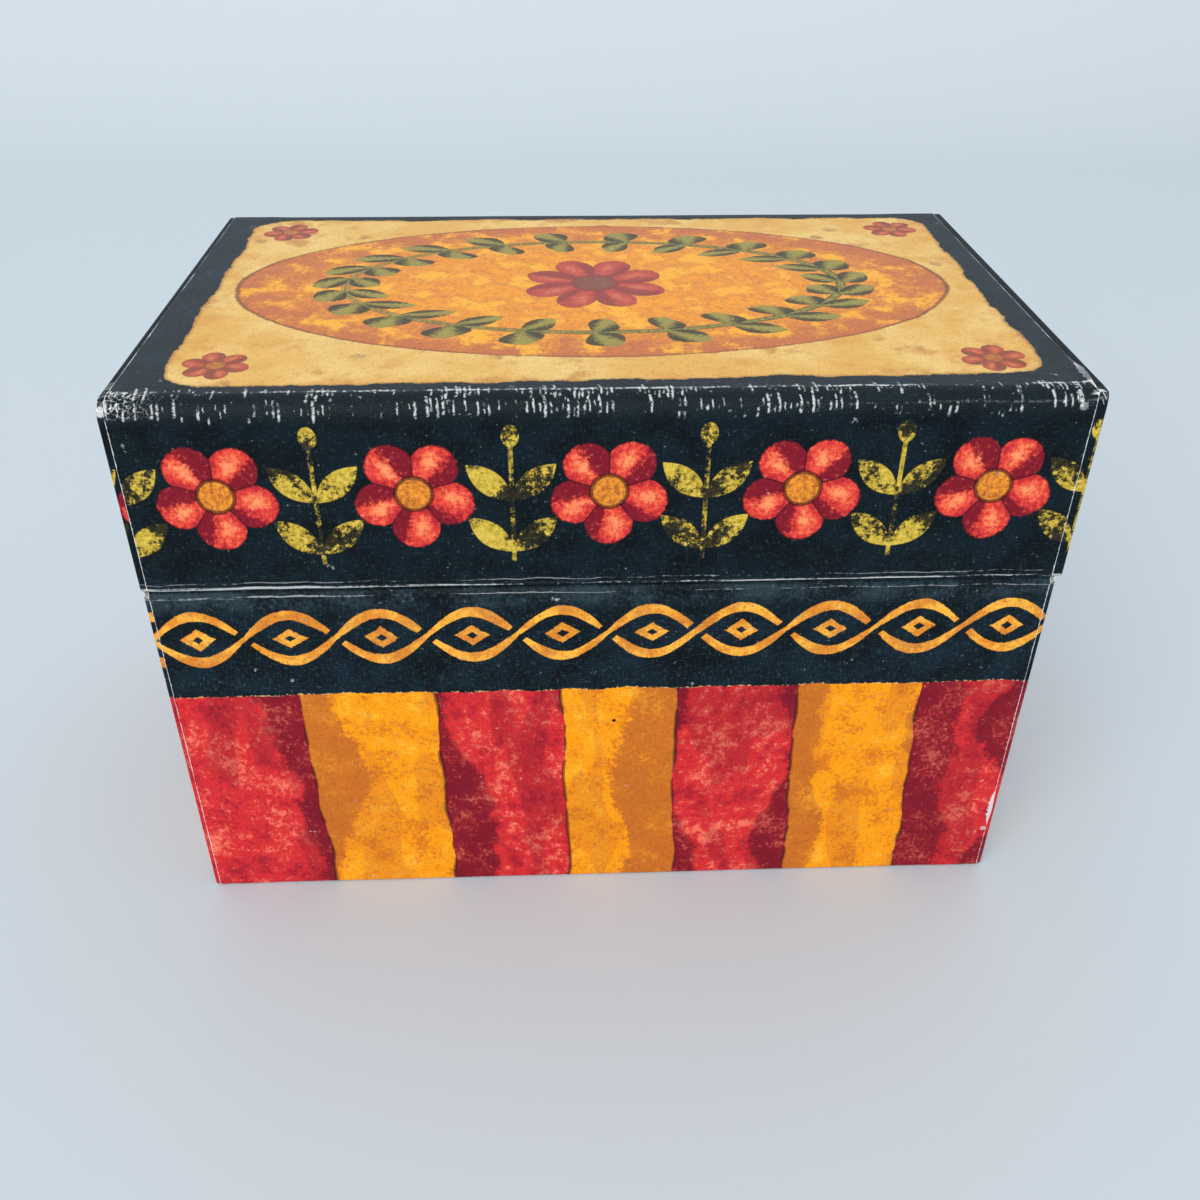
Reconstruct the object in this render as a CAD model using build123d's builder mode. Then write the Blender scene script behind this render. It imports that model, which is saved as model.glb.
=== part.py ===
"""Recipe card box: a paper-covered greyboard base with a hinged lid, for 4 x 6 inch cards.

Frame: X runs along the box, Y from the hinge side (-Y) to the opening side (+Y), Z up.
The origin is at the centre of the closed box's outline, on the surface that it stands on.
Each board and each sheet of paper is one piece. The base is glued up from boards, wrapped
at its ends, covered with the printed sheets and lined, with a neck of thinner board that
stands above its rim and guides the lid. The lid is made the same way. One large printed
sheet covers both and bends at the crease; it is divided here where it starts to bend.
"""

import os

from build123d import *

os.makedirs("parts", exist_ok=True)

# ---- Driving dimensions, in millimetres ----

# Outer sizes of the closed box
lid_w = 171.5  # lid along X
lid_d = 105.2  # lid along Y
box_h = 115.0  # height of the closed box
crease_z = 76.9  # height of the crease, and of the seam round the other three sides

# How the lid stands proud of the base
end_overhang = 0.7  # at each end, when the two are centred
front_overhang = 0.9  # at the opening side
base_x = -0.35  # middle of the base: the lid is glued on a little to the right of it

# Thicknesses
board_t = 2.0  # greyboard of base and lid
neck_t = 1.5  # greyboard of the neck
print_t = 0.2  # printed paper
lining_t = 0.15  # plain lining paper
stay_t = 0.1  # paper tape over the board corners
strip_t = 0.2  # inner hinge strip

# Paper widths
flap_w = 12.0  # turned-in flaps of the printed paper
stay_w = 14.0  # one leg of a corner stay
sheet_inset = 1.05  # cut edge of the large sheet, in from the base's ends
bottom_inset = 1.5  # edge of the bottom sheet, in from the base's outline
lining_tuck = 8.0  # neck lining, down behind the base's rim
lid_lining_rise = 3.0  # lower edge of the lid's lining, above the lid's rim
strip_reach = 12.0  # inner hinge strip, on each side of the crease

# Edges
hinge_edge_r = 3.4  # rounded top edge of the lid at the hinge side
front_edge_r = 1.0  # top edge of the lid at the opening side

# Seam, crease and neck
seam_gap = 0.3  # between the rims of base and lid
crease_gap = 1.6  # between the back boards, which leaves the crease room to bend
crease_band = 2.0  # height of the bending part of the large sheet
crease_r = 0.45  # radius of the pressed groove, about the hinge axis
pivot_out = 0.15  # hinge axis, out from the back face
neck_rise = 10.0  # neck above the crease
neck_back_gap = 0.3  # between the neck's ends and the inner hinge strip
strip_end_gap = 0.25  # between the ends of the inner hinge strip and the turned-in flaps

# ---- Sizes that follow ----

base_w = lid_w - 2 * end_overhang
sheet_w = base_w - 2 * sheet_inset
back_y = -lid_d / 2
lid_front_y = lid_d / 2
base_front_y = lid_front_y - front_overhang

end_skin = print_t + stay_t  # outside an end board
face_skin = 2 * print_t + stay_t  # outside a front or back board, where a flap lies under the sheet

base_rim_z = crease_z - seam_gap / 2
lid_rim_z = crease_z + seam_gap / 2
base_back_rim_z = crease_z - crease_gap / 2
lid_back_rim_z = crease_z + crease_gap / 2
floor_z = 2 * print_t  # underside of the floor board
floor_top_z = floor_z + board_t
top_z = box_h - 2 * print_t  # upper face of the lid's top board
ceiling_z = top_z - board_t

base_end = base_w / 2 - end_skin  # outer face of an end board, from the base's middle
lid_end = lid_w / 2 - end_skin
core_back_y = back_y + face_skin  # outer face of both back boards
base_core_front_y = base_front_y - face_skin
lid_core_front_y = lid_front_y - face_skin
back_inner_y = core_back_y + board_t
lined_back_y = back_inner_y + lining_t
strip_face_y = lined_back_y + strip_t

base_inner_end = base_end - board_t - print_t  # inner face of a turned-in flap
base_inner_front_y = base_core_front_y - board_t - print_t
lid_inner_end = lid_end - board_t - print_t
lid_inner_front_y = lid_core_front_y - board_t - print_t

neck_wall = neck_t + 2 * lining_t
neck_back_y = strip_face_y + neck_back_gap
neck_top_z = crease_z + neck_rise
room_end = base_inner_end - neck_wall  # half the clear width for the cards
room_front_y = base_inner_front_y - neck_wall


def block(x, y, z, mode=Mode.ADD):
    """Box between the low and high ends given for x, y and z."""
    with Locations(((x[0] + x[1]) / 2, (y[0] + y[1]) / 2, (z[0] + z[1]) / 2)):
        return Box(x[1] - x[0], y[1] - y[0], z[1] - z[0], mode=mode)


def patch(x, y, mode=Mode.ADD):
    """Rectangle between the low and high ends given along a sketch's own x and y."""
    with Locations(((x[0] + x[1]) / 2, (y[0] + y[1]) / 2)):
        return Rectangle(x[1] - x[0], y[1] - y[0], mode=mode)


def save(part, name):
    """Label a finished piece and write it."""
    part.label = name
    export_step(part, f"parts/{name}.step")


# ---- Base boards ----

base_core_y = (core_back_y, base_core_front_y)

with BuildPart() as base_floor_board:
    with BuildSketch(Plane.XY.offset(floor_z)):
        with Locations((base_x, sum(base_core_y) / 2)):
            Rectangle(2 * base_end, base_core_front_y - core_back_y)
    extrude(amount=board_t)
save(base_floor_board.part, "base_floor_board")

for end, sign in (("left", -1), ("right", 1)):
    with BuildPart() as base_end_board:
        outer_x = base_x + sign * base_end
        with BuildSketch(Plane.YZ.offset(outer_x)):
            with Locations((sum(base_core_y) / 2, (floor_top_z + base_rim_z - print_t) / 2)):
                Rectangle(base_core_front_y - core_back_y, base_rim_z - print_t - floor_top_z)
        extrude(amount=-sign * board_t)
    save(base_end_board.part, f"base_{end}_board")

long_board_x = (base_x - base_end + board_t, base_x + base_end - board_t)

with BuildPart() as base_back_board:
    block(long_board_x, (core_back_y, back_inner_y), (floor_top_z, base_back_rim_z))
save(base_back_board.part, "base_back_board")

with BuildPart() as base_front_board:
    front_board_y = (base_core_front_y - board_t, base_core_front_y)
    block(long_board_x, front_board_y, (floor_top_z, base_rim_z - print_t))
save(base_front_board.part, "base_front_board")

# Four strips of paper tape, folded over the upright corners of the boards
with BuildPart() as base_corner_stays:
    with BuildSketch(Plane.XY.offset(floor_z)):
        with Locations((base_x, sum(base_core_y) / 2)):
            Rectangle(2 * (base_end + stay_t), base_core_front_y - core_back_y + 2 * stay_t)
            Rectangle(2 * base_end, base_core_front_y - core_back_y, mode=Mode.SUBTRACT)
            Rectangle(2 * (base_end + stay_t - stay_w), lid_d, mode=Mode.SUBTRACT)
            Rectangle(lid_w, base_core_front_y - core_back_y + 2 * (stay_t - stay_w), mode=Mode.SUBTRACT)
    extrude(amount=base_back_rim_z - floor_z)
save(base_corner_stays.part, "base_corner_stays")

# ---- Printed papers of the base ----

# End wrap: outer face, flaps on the front, back and underside, and a turn over the rim
for end, sign in (("left", -1), ("right", 1)):
    outer_x = base_x + sign * base_w / 2
    skin_x = sorted((outer_x, outer_x - sign * print_t))
    flap_x = sorted((outer_x, outer_x - sign * flap_w))
    core_x = sorted((outer_x - sign * print_t, outer_x - sign * lid_w))
    inner_x = base_x + sign * base_inner_end
    rim_x = sorted((outer_x, inner_x))
    turn_x = sorted((inner_x, inner_x + sign * print_t))
    wrap_y = (back_y + print_t, base_front_y - print_t)
    core_y = (wrap_y[0] + print_t, wrap_y[1] - print_t)
    with BuildPart() as base_end_wrap:
        block(flap_x, wrap_y, (print_t, base_back_rim_z))
        block(core_x, core_y, (floor_z, box_h), mode=Mode.SUBTRACT)
        block(skin_x, (core_y[0], wrap_y[1]), (base_back_rim_z, base_rim_z))
        block(flap_x, (core_y[1], wrap_y[1]), (base_back_rim_z, base_rim_z))
        rim_y = (core_y[0] + stay_t, core_y[1])
        block(rim_x, rim_y, (base_rim_z - print_t, base_rim_z))
        turn_y = (lined_back_y, base_inner_front_y + print_t)
        block(turn_x, turn_y, (base_rim_z - flap_w, base_rim_z))
    save(base_end_wrap.part, f"base_{end}_wrap")

sheet_x = (base_x - sheet_w / 2, base_x + sheet_w / 2)
under_x = (base_x - base_w / 2 + flap_w, base_x + base_w / 2 - flap_w)

# Lower part of the large sheet: the hinge side of the base, turned in under the floor
with BuildPart() as base_back_sheet:
    block(sheet_x, (back_y, back_y + print_t), (print_t, crease_z - crease_band / 2))
    block(under_x, (back_y + print_t, back_y + flap_w), (print_t, floor_z))
save(base_back_sheet.part, "base_back_sheet")

# Printed sheet of the opening side, turned in under the floor and over the rim
with BuildPart() as base_front_sheet:
    flap_y = (base_front_y - 2 * print_t, base_front_y - print_t)
    rim_z = (base_rim_z - print_t, base_rim_z)
    turn_x = (base_x - base_inner_end, base_x + base_inner_end)
    block(sheet_x, (base_front_y - print_t, base_front_y), (print_t, base_rim_z))
    block(under_x, (base_front_y - flap_w, base_front_y - print_t), (print_t, floor_z))
    block(under_x, flap_y, rim_z)
    block(turn_x, (base_inner_front_y, flap_y[0]), rim_z)
    block(turn_x, (base_inner_front_y, base_inner_front_y + print_t), (base_rim_z - flap_w, base_rim_z))
save(base_front_sheet.part, "base_front_sheet")

with BuildPart() as base_bottom_sheet:
    with BuildSketch():
        with Locations((base_x, (back_y + base_front_y) / 2)):
            Rectangle(base_w - 2 * bottom_inset, base_front_y - back_y - 2 * bottom_inset)
    extrude(amount=print_t)
save(base_bottom_sheet.part, "base_bottom_sheet")

# ---- Neck and linings of the base ----


def neck_outline(margin):
    """U-shaped plan of the neck, open at the hinge side, with its faces drawn in by a margin."""
    outer_end = base_inner_end - margin
    inner_end = room_end + margin
    with BuildSketch() as outline:
        patch((base_x - outer_end, base_x + outer_end), (neck_back_y, base_inner_front_y - margin))
        patch((base_x - inner_end, base_x + inner_end), (neck_back_y, room_front_y + margin), Mode.SUBTRACT)
    return outline.sketch


neck_board_z = (floor_top_z, neck_top_z)  # the neck boards stand on the floor board
neck_board_end = base_inner_end - lining_t
neck_board_front_y = base_inner_front_y - lining_t

for end, sign in (("left", -1), ("right", 1)):
    with BuildPart() as neck_end_board:
        outer_x = base_x + sign * neck_board_end
        end_x = sorted((outer_x, outer_x - sign * neck_t))
        block(end_x, (neck_back_y, neck_board_front_y), neck_board_z)
    save(neck_end_board.part, f"neck_{end}_board")

with BuildPart() as neck_front_board:
    front_x = (base_x - neck_board_end + neck_t, base_x + neck_board_end - neck_t)
    block(front_x, (neck_board_front_y - neck_t, neck_board_front_y), neck_board_z)
save(neck_front_board.part, "neck_front_board")

# One strip of lining: up the inside of the neck, over its top and down behind the rim
with BuildPart() as neck_lining:
    with BuildSketch(Plane.XY.offset(floor_top_z)):
        add(neck_outline(0))
    extrude(amount=neck_top_z + lining_t - floor_top_z)
    with BuildSketch(Plane.XY.offset(floor_top_z)):
        add(neck_outline(lining_t))
    extrude(amount=neck_top_z - floor_top_z, mode=Mode.SUBTRACT)
    with BuildSketch(Plane.XY.offset(floor_top_z)):
        patch((base_x - lid_w, base_x + lid_w), (back_y, lid_front_y))
        patch((base_x - neck_board_end, base_x + neck_board_end), (back_y, neck_board_front_y), Mode.SUBTRACT)
    extrude(amount=base_rim_z - lining_tuck - floor_top_z, mode=Mode.SUBTRACT)
save(neck_lining.part, "neck_lining")

with BuildPart() as base_back_lining:
    back_lining_x = (base_x - base_inner_end, base_x + base_inner_end)
    block(back_lining_x, (back_inner_y, lined_back_y), (floor_top_z, base_back_rim_z))
save(base_back_lining.part, "base_back_lining")

with BuildPart() as base_floor_lining:
    with BuildSketch(Plane.XY.offset(floor_top_z)):
        patch((base_x - room_end, base_x + room_end), (lined_back_y, room_front_y))
    extrude(amount=lining_t)
save(base_floor_lining.part, "base_floor_lining")

# ---- Lid boards ----


def lid_outline(side, top, low_z):
    """End view of the lid above low_z, drawn in from the cover, with its long top edges rounded."""
    near_y = back_y + side
    far_y = lid_front_y - side
    high_z = box_h - top
    corners = ((near_y, low_z), (near_y, high_z), (far_y, high_z), (far_y, low_z))
    with BuildSketch() as outline:
        with BuildLine():
            FilletPolyline(*corners, radius=[0, hinge_edge_r - side, front_edge_r - side, 0], close=True)
        make_face()
    return outline.sketch


lid_core_y = (core_back_y, lid_core_front_y)
lid_board_z = lid_rim_z + print_t
lid_long_x = (-lid_end + board_t, lid_end - board_t)

with BuildPart() as lid_top_board:
    with BuildSketch(Plane.YZ.offset(-lid_end)):
        add(lid_outline(face_skin, 2 * print_t, lid_board_z))
        patch(lid_core_y, (ceiling_z, top_z), mode=Mode.INTERSECT)
    extrude(amount=2 * lid_end)
save(lid_top_board.part, "lid_top_board")

for end, sign in (("left", -1), ("right", 1)):
    with BuildPart() as lid_end_board:
        with BuildSketch(Plane.YZ.offset(sign * lid_end)):
            add(lid_outline(face_skin, 2 * print_t, lid_board_z))
            patch(lid_core_y, (lid_board_z, ceiling_z), mode=Mode.INTERSECT)
        extrude(amount=-sign * board_t)
    save(lid_end_board.part, f"lid_{end}_board")

with BuildPart() as lid_back_board:
    with BuildSketch(Plane.YZ.offset(lid_long_x[0])):
        add(lid_outline(face_skin, 2 * print_t, lid_back_rim_z))
        patch((core_back_y, back_inner_y), (lid_back_rim_z, ceiling_z), mode=Mode.INTERSECT)
    extrude(amount=lid_long_x[1] - lid_long_x[0])
save(lid_back_board.part, "lid_back_board")

with BuildPart() as lid_front_board:
    front_board_y = (lid_core_front_y - board_t, lid_core_front_y)
    block(lid_long_x, front_board_y, (lid_board_z, ceiling_z))
save(lid_front_board.part, "lid_front_board")

with BuildPart() as lid_corner_stays:
    with BuildSketch(Plane.XY.offset(lid_back_rim_z)):
        Rectangle(2 * (lid_end + stay_t), lid_core_front_y - core_back_y + 2 * stay_t)
        Rectangle(2 * lid_end, lid_core_front_y - core_back_y, mode=Mode.SUBTRACT)
        Rectangle(2 * (lid_end + stay_t - stay_w), lid_d, mode=Mode.SUBTRACT)
        Rectangle(lid_w, lid_core_front_y - core_back_y + 2 * (stay_t - stay_w), mode=Mode.SUBTRACT)
    extrude(amount=box_h - hinge_edge_r - lid_back_rim_z)
save(lid_corner_stays.part, "lid_corner_stays")

# ---- Printed papers of the lid ----

# End wrap: outer face, flaps on the back, top and front, and a turn over the rim
for end, sign in (("left", -1), ("right", 1)):
    outer_x = sign * lid_w / 2
    flap_x = sorted((outer_x - sign * print_t, outer_x - sign * flap_w))
    inner_x = sign * lid_inner_end
    rim_x = sorted((outer_x, inner_x))
    turn_x = sorted((inner_x, inner_x + sign * print_t))
    with BuildPart() as lid_end_wrap:
        with BuildSketch(Plane.YZ.offset(outer_x)):
            add(lid_outline(print_t, print_t, lid_rim_z))
        extrude(amount=-sign * flap_w)
        with BuildSketch(Plane.YZ.offset(outer_x - sign * print_t)):
            add(lid_outline(2 * print_t, 2 * print_t, lid_rim_z))
        extrude(amount=-sign * flap_w, mode=Mode.SUBTRACT)
        block(flap_x, (back_y, core_back_y), (lid_rim_z, lid_back_rim_z), mode=Mode.SUBTRACT)
        block(rim_x, (core_back_y, lid_front_y - 2 * print_t), (lid_rim_z, lid_board_z))
        block(turn_x, (lined_back_y, lid_inner_front_y + print_t), (lid_rim_z, lid_rim_z + flap_w))
    save(lid_end_wrap.part, f"lid_{end}_wrap")

# Upper part of the large sheet: hinge side, top and opening side, turned in over the front rim
with BuildPart() as lid_cover_sheet:
    with BuildSketch(Plane.YZ.offset(sheet_x[0])):
        add(lid_outline(0, 0, lid_rim_z))
        add(lid_outline(print_t, print_t, lid_rim_z), mode=Mode.SUBTRACT)
        patch((back_y, core_back_y), (lid_rim_z, crease_z + crease_band / 2), mode=Mode.SUBTRACT)
    extrude(amount=sheet_w)
    lid_turn_x = (-lid_inner_end, lid_inner_end)
    lid_under_x = (-lid_w / 2 + flap_w, lid_w / 2 - flap_w)
    flap_y = (lid_front_y - 2 * print_t, lid_front_y - print_t)
    block(lid_under_x, flap_y, (lid_rim_z, lid_board_z))
    block(lid_turn_x, (lid_inner_front_y, flap_y[0]), (lid_rim_z, lid_board_z))
    turn_y = (lid_inner_front_y, lid_inner_front_y + print_t)
    block(lid_turn_x, turn_y, (lid_rim_z, lid_rim_z + flap_w))
save(lid_cover_sheet.part, "lid_cover_sheet")

# ---- Linings of the lid ----

lid_lining_z = lid_rim_z + lid_lining_rise
lined_lid_end = lid_inner_end - lining_t
lined_lid_front_y = lid_inner_front_y - lining_t

with BuildPart() as lid_wall_lining:
    with BuildSketch(Plane.XY.offset(lid_lining_z)):
        patch((-lid_inner_end, lid_inner_end), (back_inner_y, lid_inner_front_y))
        patch((-lined_lid_end, lined_lid_end), (lined_back_y, lined_lid_front_y), Mode.SUBTRACT)
    extrude(amount=ceiling_z - lid_lining_z)
save(lid_wall_lining.part, "lid_wall_lining")

with BuildPart() as lid_top_lining:
    with BuildSketch(Plane.XY.offset(ceiling_z - lining_t)):
        patch((-lined_lid_end, lined_lid_end), (lined_back_y, lined_lid_front_y))
    extrude(amount=lining_t)
save(lid_top_lining.part, "lid_top_lining")

# ---- Hinge ----

# Bending part of the large sheet, with a groove pressed in round the hinge axis
pivot_y = back_y - pivot_out
groove_r = crease_r + print_t
band_z = (crease_z - crease_band / 2, crease_z + crease_band / 2)

with BuildPart() as hinge_crease:
    with BuildSketch(Plane.YZ.offset(sheet_x[0])):
        patch((back_y, back_y + print_t), band_z)
        with Locations((pivot_y, crease_z)):
            Circle(groove_r)
            Circle(crease_r, mode=Mode.SUBTRACT)
        patch((pivot_y - groove_r, back_y), band_z, mode=Mode.SUBTRACT)
    extrude(amount=sheet_w)
save(hinge_crease.part, "hinge_crease")

# Strip of lining paper that backs the crease: down the base's wall, out between the back
# boards to the crease, and up the lid's wall
with BuildPart() as hinge_strip:
    strip_half = base_inner_end - strip_end_gap
    strip_z = (base_back_rim_z - strip_reach, lid_back_rim_z + strip_reach)
    with BuildSketch(Plane.YZ.offset(base_x - strip_half)):
        patch((lined_back_y, strip_face_y), strip_z)
        patch((core_back_y, strip_face_y), (base_back_rim_z, lid_back_rim_z))
        groove_z = (base_back_rim_z + strip_t, lid_back_rim_z - strip_t)
        patch((core_back_y + strip_t, strip_face_y), groove_z, mode=Mode.SUBTRACT)
    extrude(amount=2 * strip_half)
save(hinge_strip.part, "hinge_strip")
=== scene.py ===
# %% [markdown]
# # A recipe card box covered in printed paper
#
# The real object is a greyboard box for 4 x 6 inch cards. Its lid hangs on nothing but the
# printed paper: one large sheet runs from under the base, up the hinge side, over the lid
# and down the opening side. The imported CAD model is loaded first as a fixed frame, and every
# piece made below is fitted to it, in the same place and at the same size.

# %% Load the frame
import math

import bmesh
import bpy
import numpy as np
from mathutils import Matrix, Vector


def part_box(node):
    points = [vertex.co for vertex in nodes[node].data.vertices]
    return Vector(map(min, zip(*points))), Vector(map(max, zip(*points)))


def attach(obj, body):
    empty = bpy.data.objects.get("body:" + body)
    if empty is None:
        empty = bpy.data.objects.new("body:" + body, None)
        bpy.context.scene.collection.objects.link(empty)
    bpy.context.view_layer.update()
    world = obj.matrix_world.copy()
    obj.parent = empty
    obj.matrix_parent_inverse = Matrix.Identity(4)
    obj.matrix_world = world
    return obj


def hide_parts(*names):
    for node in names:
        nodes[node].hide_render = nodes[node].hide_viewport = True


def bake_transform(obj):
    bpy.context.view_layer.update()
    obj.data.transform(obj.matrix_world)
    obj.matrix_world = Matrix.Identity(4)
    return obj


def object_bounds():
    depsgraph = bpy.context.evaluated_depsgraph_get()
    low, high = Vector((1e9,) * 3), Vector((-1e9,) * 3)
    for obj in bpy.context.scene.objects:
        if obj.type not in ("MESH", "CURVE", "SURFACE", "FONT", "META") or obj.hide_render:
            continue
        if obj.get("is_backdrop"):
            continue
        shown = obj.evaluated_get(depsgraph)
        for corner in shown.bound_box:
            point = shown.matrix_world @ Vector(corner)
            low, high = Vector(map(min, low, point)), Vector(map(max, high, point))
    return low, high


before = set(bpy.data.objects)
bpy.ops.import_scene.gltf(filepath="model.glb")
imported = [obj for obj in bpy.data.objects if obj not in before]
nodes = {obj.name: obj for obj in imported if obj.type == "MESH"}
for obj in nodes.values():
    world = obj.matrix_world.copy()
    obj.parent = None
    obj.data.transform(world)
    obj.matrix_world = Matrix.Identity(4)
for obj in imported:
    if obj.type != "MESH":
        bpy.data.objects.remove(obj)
cad_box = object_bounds()

# %% [markdown]
# ## Sizes
#
# Paper is thinner than anything else in a model of this size, so the work is done in
# millimetres and turned into metres when a mesh is made. The sizes are read from the CAD
# pieces where they have a plain meaning, and the rest are the same named values as theirs.

# %% Sizes from the frame
def span(node):
    """Low and high corner of a CAD node, in millimetres."""
    return [np.array(corner) * 1000 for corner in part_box(node)]


(SHEET_LEFT, BACK, LID_RIM), (SHEET_RIGHT, LID_FRONT, TOP) = span("lid_cover_sheet")
BASE_FRONT, BASE_RIM = span("base_front_sheet")[1][1:]
LID_END = span("lid_right_wrap")[1][0]  # outer face of a lid end, from x = 0
BASE_MID = (span("base_left_wrap")[0][0] + span("base_right_wrap")[1][0]) / 2
BASE_END = span("base_right_wrap")[1][0] - BASE_MID
CREASE = sum(corner[2] for corner in span("hinge_crease")) / 2
BACK_RIMS = (span("base_back_board")[1][2], span("lid_back_board")[0][2])  # below and above the crease
print("lid", LID_END, "base", BASE_END, "about", BASE_MID, "crease", CREASE)

# %% Sizes that the pieces share
PAPER = 0.2  # thickness of the printed paper
LINING = 0.15  # thickness of the lining paper
FLAP = 12.0  # turned-in flaps
END_WALL = 2.5  # end board with the paper on both its faces
LID_INSIDE = (LID_END - END_WALL, 49.9)  # inner faces of the turned-in flaps: end, front
BASE_INSIDE = (BASE_END - END_WALL, 49.0)
STRIP_FACE = -49.75  # face of the inner hinge strip
HINGE_EDGE = 3.4  # radius of the rounded edge over the hinge side
FRONT_EDGE = 1.0
CORNER = 0.55  # radius of the lid's upright corners
BASE_CORNER = 0.5
FOOT = 0.5  # radius of the base's lower edges
LEVEL = PAPER - 0.03  # a sheet's outer face beside its rounded foot
EDGE_START = TOP - HINGE_EDGE  # height at which the rounded edge starts
TOP_START = EDGE_START + HINGE_EDGE * math.pi / 2  # its end, measured along the sheet
TOP_SHIFT = TOP_START - (BACK + HINGE_EDGE)  # what is added to y to go on measuring
ROUND = 2 * LID_END + (LID_FRONT - BACK)  # from the hinge side's middle to the opening side's
TEAR_V, SLIVER_V = 120.5, 17.8  # print heights at which the cut edge has come up on the right
INSIDE_MARK = 300.0  # print height given to flaps that are turned in, where the print is plain
print("print height where the top starts", round(TOP_START, 2), "shift", round(TOP_SHIFT, 2))

# %% [markdown]
# ## Camera
#
# The box is seen from above its hinge side, a little to the left of its middle. The camera's
# place and its angles come from the box's own corners: four upright edges that all lean
# inwards say how far away and how high the eye was.

# %% Camera
EYE = Vector((-0.009913, -0.235265, 0.198031))
YAW, PITCH, ROLL = 0.0460, 0.5963, 0.0078  # to the right, down, and about the view line
FOCAL = 1181 / 1200  # focal length as a share of the sensor's width

ahead = Vector((math.sin(YAW) * math.cos(PITCH), math.cos(YAW) * math.cos(PITCH), -math.sin(PITCH)))
level = Vector((math.cos(YAW), -math.sin(YAW), 0))
upward = level.cross(ahead)
right = level * math.cos(ROLL) + upward * math.sin(ROLL)
above = -level * math.sin(ROLL) + upward * math.cos(ROLL)
lens = bpy.data.cameras.new("camera")
lens.sensor_width = 36.0
lens.lens = 36.0 * FOCAL
lens.clip_start, lens.clip_end = 0.01, 20
camera = bpy.data.objects.new("camera", lens)
camera.matrix_world = Matrix.Translation(EYE) @ Matrix((right, above, -ahead)).transposed().to_4x4()
scene = bpy.context.scene
scene.collection.objects.link(camera)
scene.camera = camera
print("eye", tuple(round(v, 3) for v in EYE))

# %% [markdown]
# ## Writing a finish
#
# A finish is a node tree, and a tree of a hundred nodes is easier to read as sums. `Value`
# wraps an output socket, and arithmetic on it adds Math nodes. `Finish.node` makes any
# other node from its type, its settings and the values or links of its sockets.

# %% Shader values
def ink(red, green, blue):
    """Linear colour of a shade given in screen steps, 0 to 255."""
    steps = [c / 255 for c in (red, green, blue)]
    return (*[c / 12.92 if c <= 0.04045 else ((c + 0.055) / 1.055) ** 2.4 for c in steps], 1.0)


class Value:
    """A number, colour or vector inside a finish, on which Python arithmetic can be written."""

    def __init__(self, finish, socket):
        self.finish, self.socket = finish, socket

    def math(self, operation, *others):
        """A Math node of that operation, on this value and the others in turn."""
        values = dict(enumerate((self, *others)))
        return self.finish.node("Math", {"operation": operation}, values)

    def __add__(self, other):
        return self.math("ADD", other)

    def __sub__(self, other):
        return self.math("SUBTRACT", other)

    def __mul__(self, other):
        return self.math("MULTIPLY", other)

    def __truediv__(self, other):
        return self.math("DIVIDE", other)

    def __rsub__(self, other):
        return self.finish.node("Math", {"operation": "SUBTRACT"}, {0: other, 1: self})

    def __rtruediv__(self, other):
        return self.finish.node("Math", {"operation": "DIVIDE"}, {0: other, 1: self})

    def __neg__(self):
        return self * -1

    def __abs__(self):
        return self.math("ABSOLUTE")

    __radd__ = __add__
    __rmul__ = __mul__

    def rise(self, low, high):
        """0 below low, 1 above high, smooth between; with low above high it falls instead."""
        values = {"Value": self, "From Min": low, "From Max": high}
        return self.finish.node("MapRange", {"interpolation_type": "SMOOTHSTEP"}, values)

    def under(self, other, soft=0.12):
        """1 where this is less than the other, with an edge about `soft` wide."""
        if isinstance(other, Value):
            return (other - self).rise(-soft, soft)
        return self.rise(other + soft, other - soft)

    def bell(self, middle, width):
        """Bell curve exp(-(distance / width)^2)."""
        far = (self - middle) / width
        return (-(far * far)).math("EXPONENT")

    def bulge(self, middle, half):
        """1 at the middle, falling in a parabola to 0 at `half` either side."""
        far = (self - middle) / half
        return (1 - far * far).math("MAXIMUM", 0.0)


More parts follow.
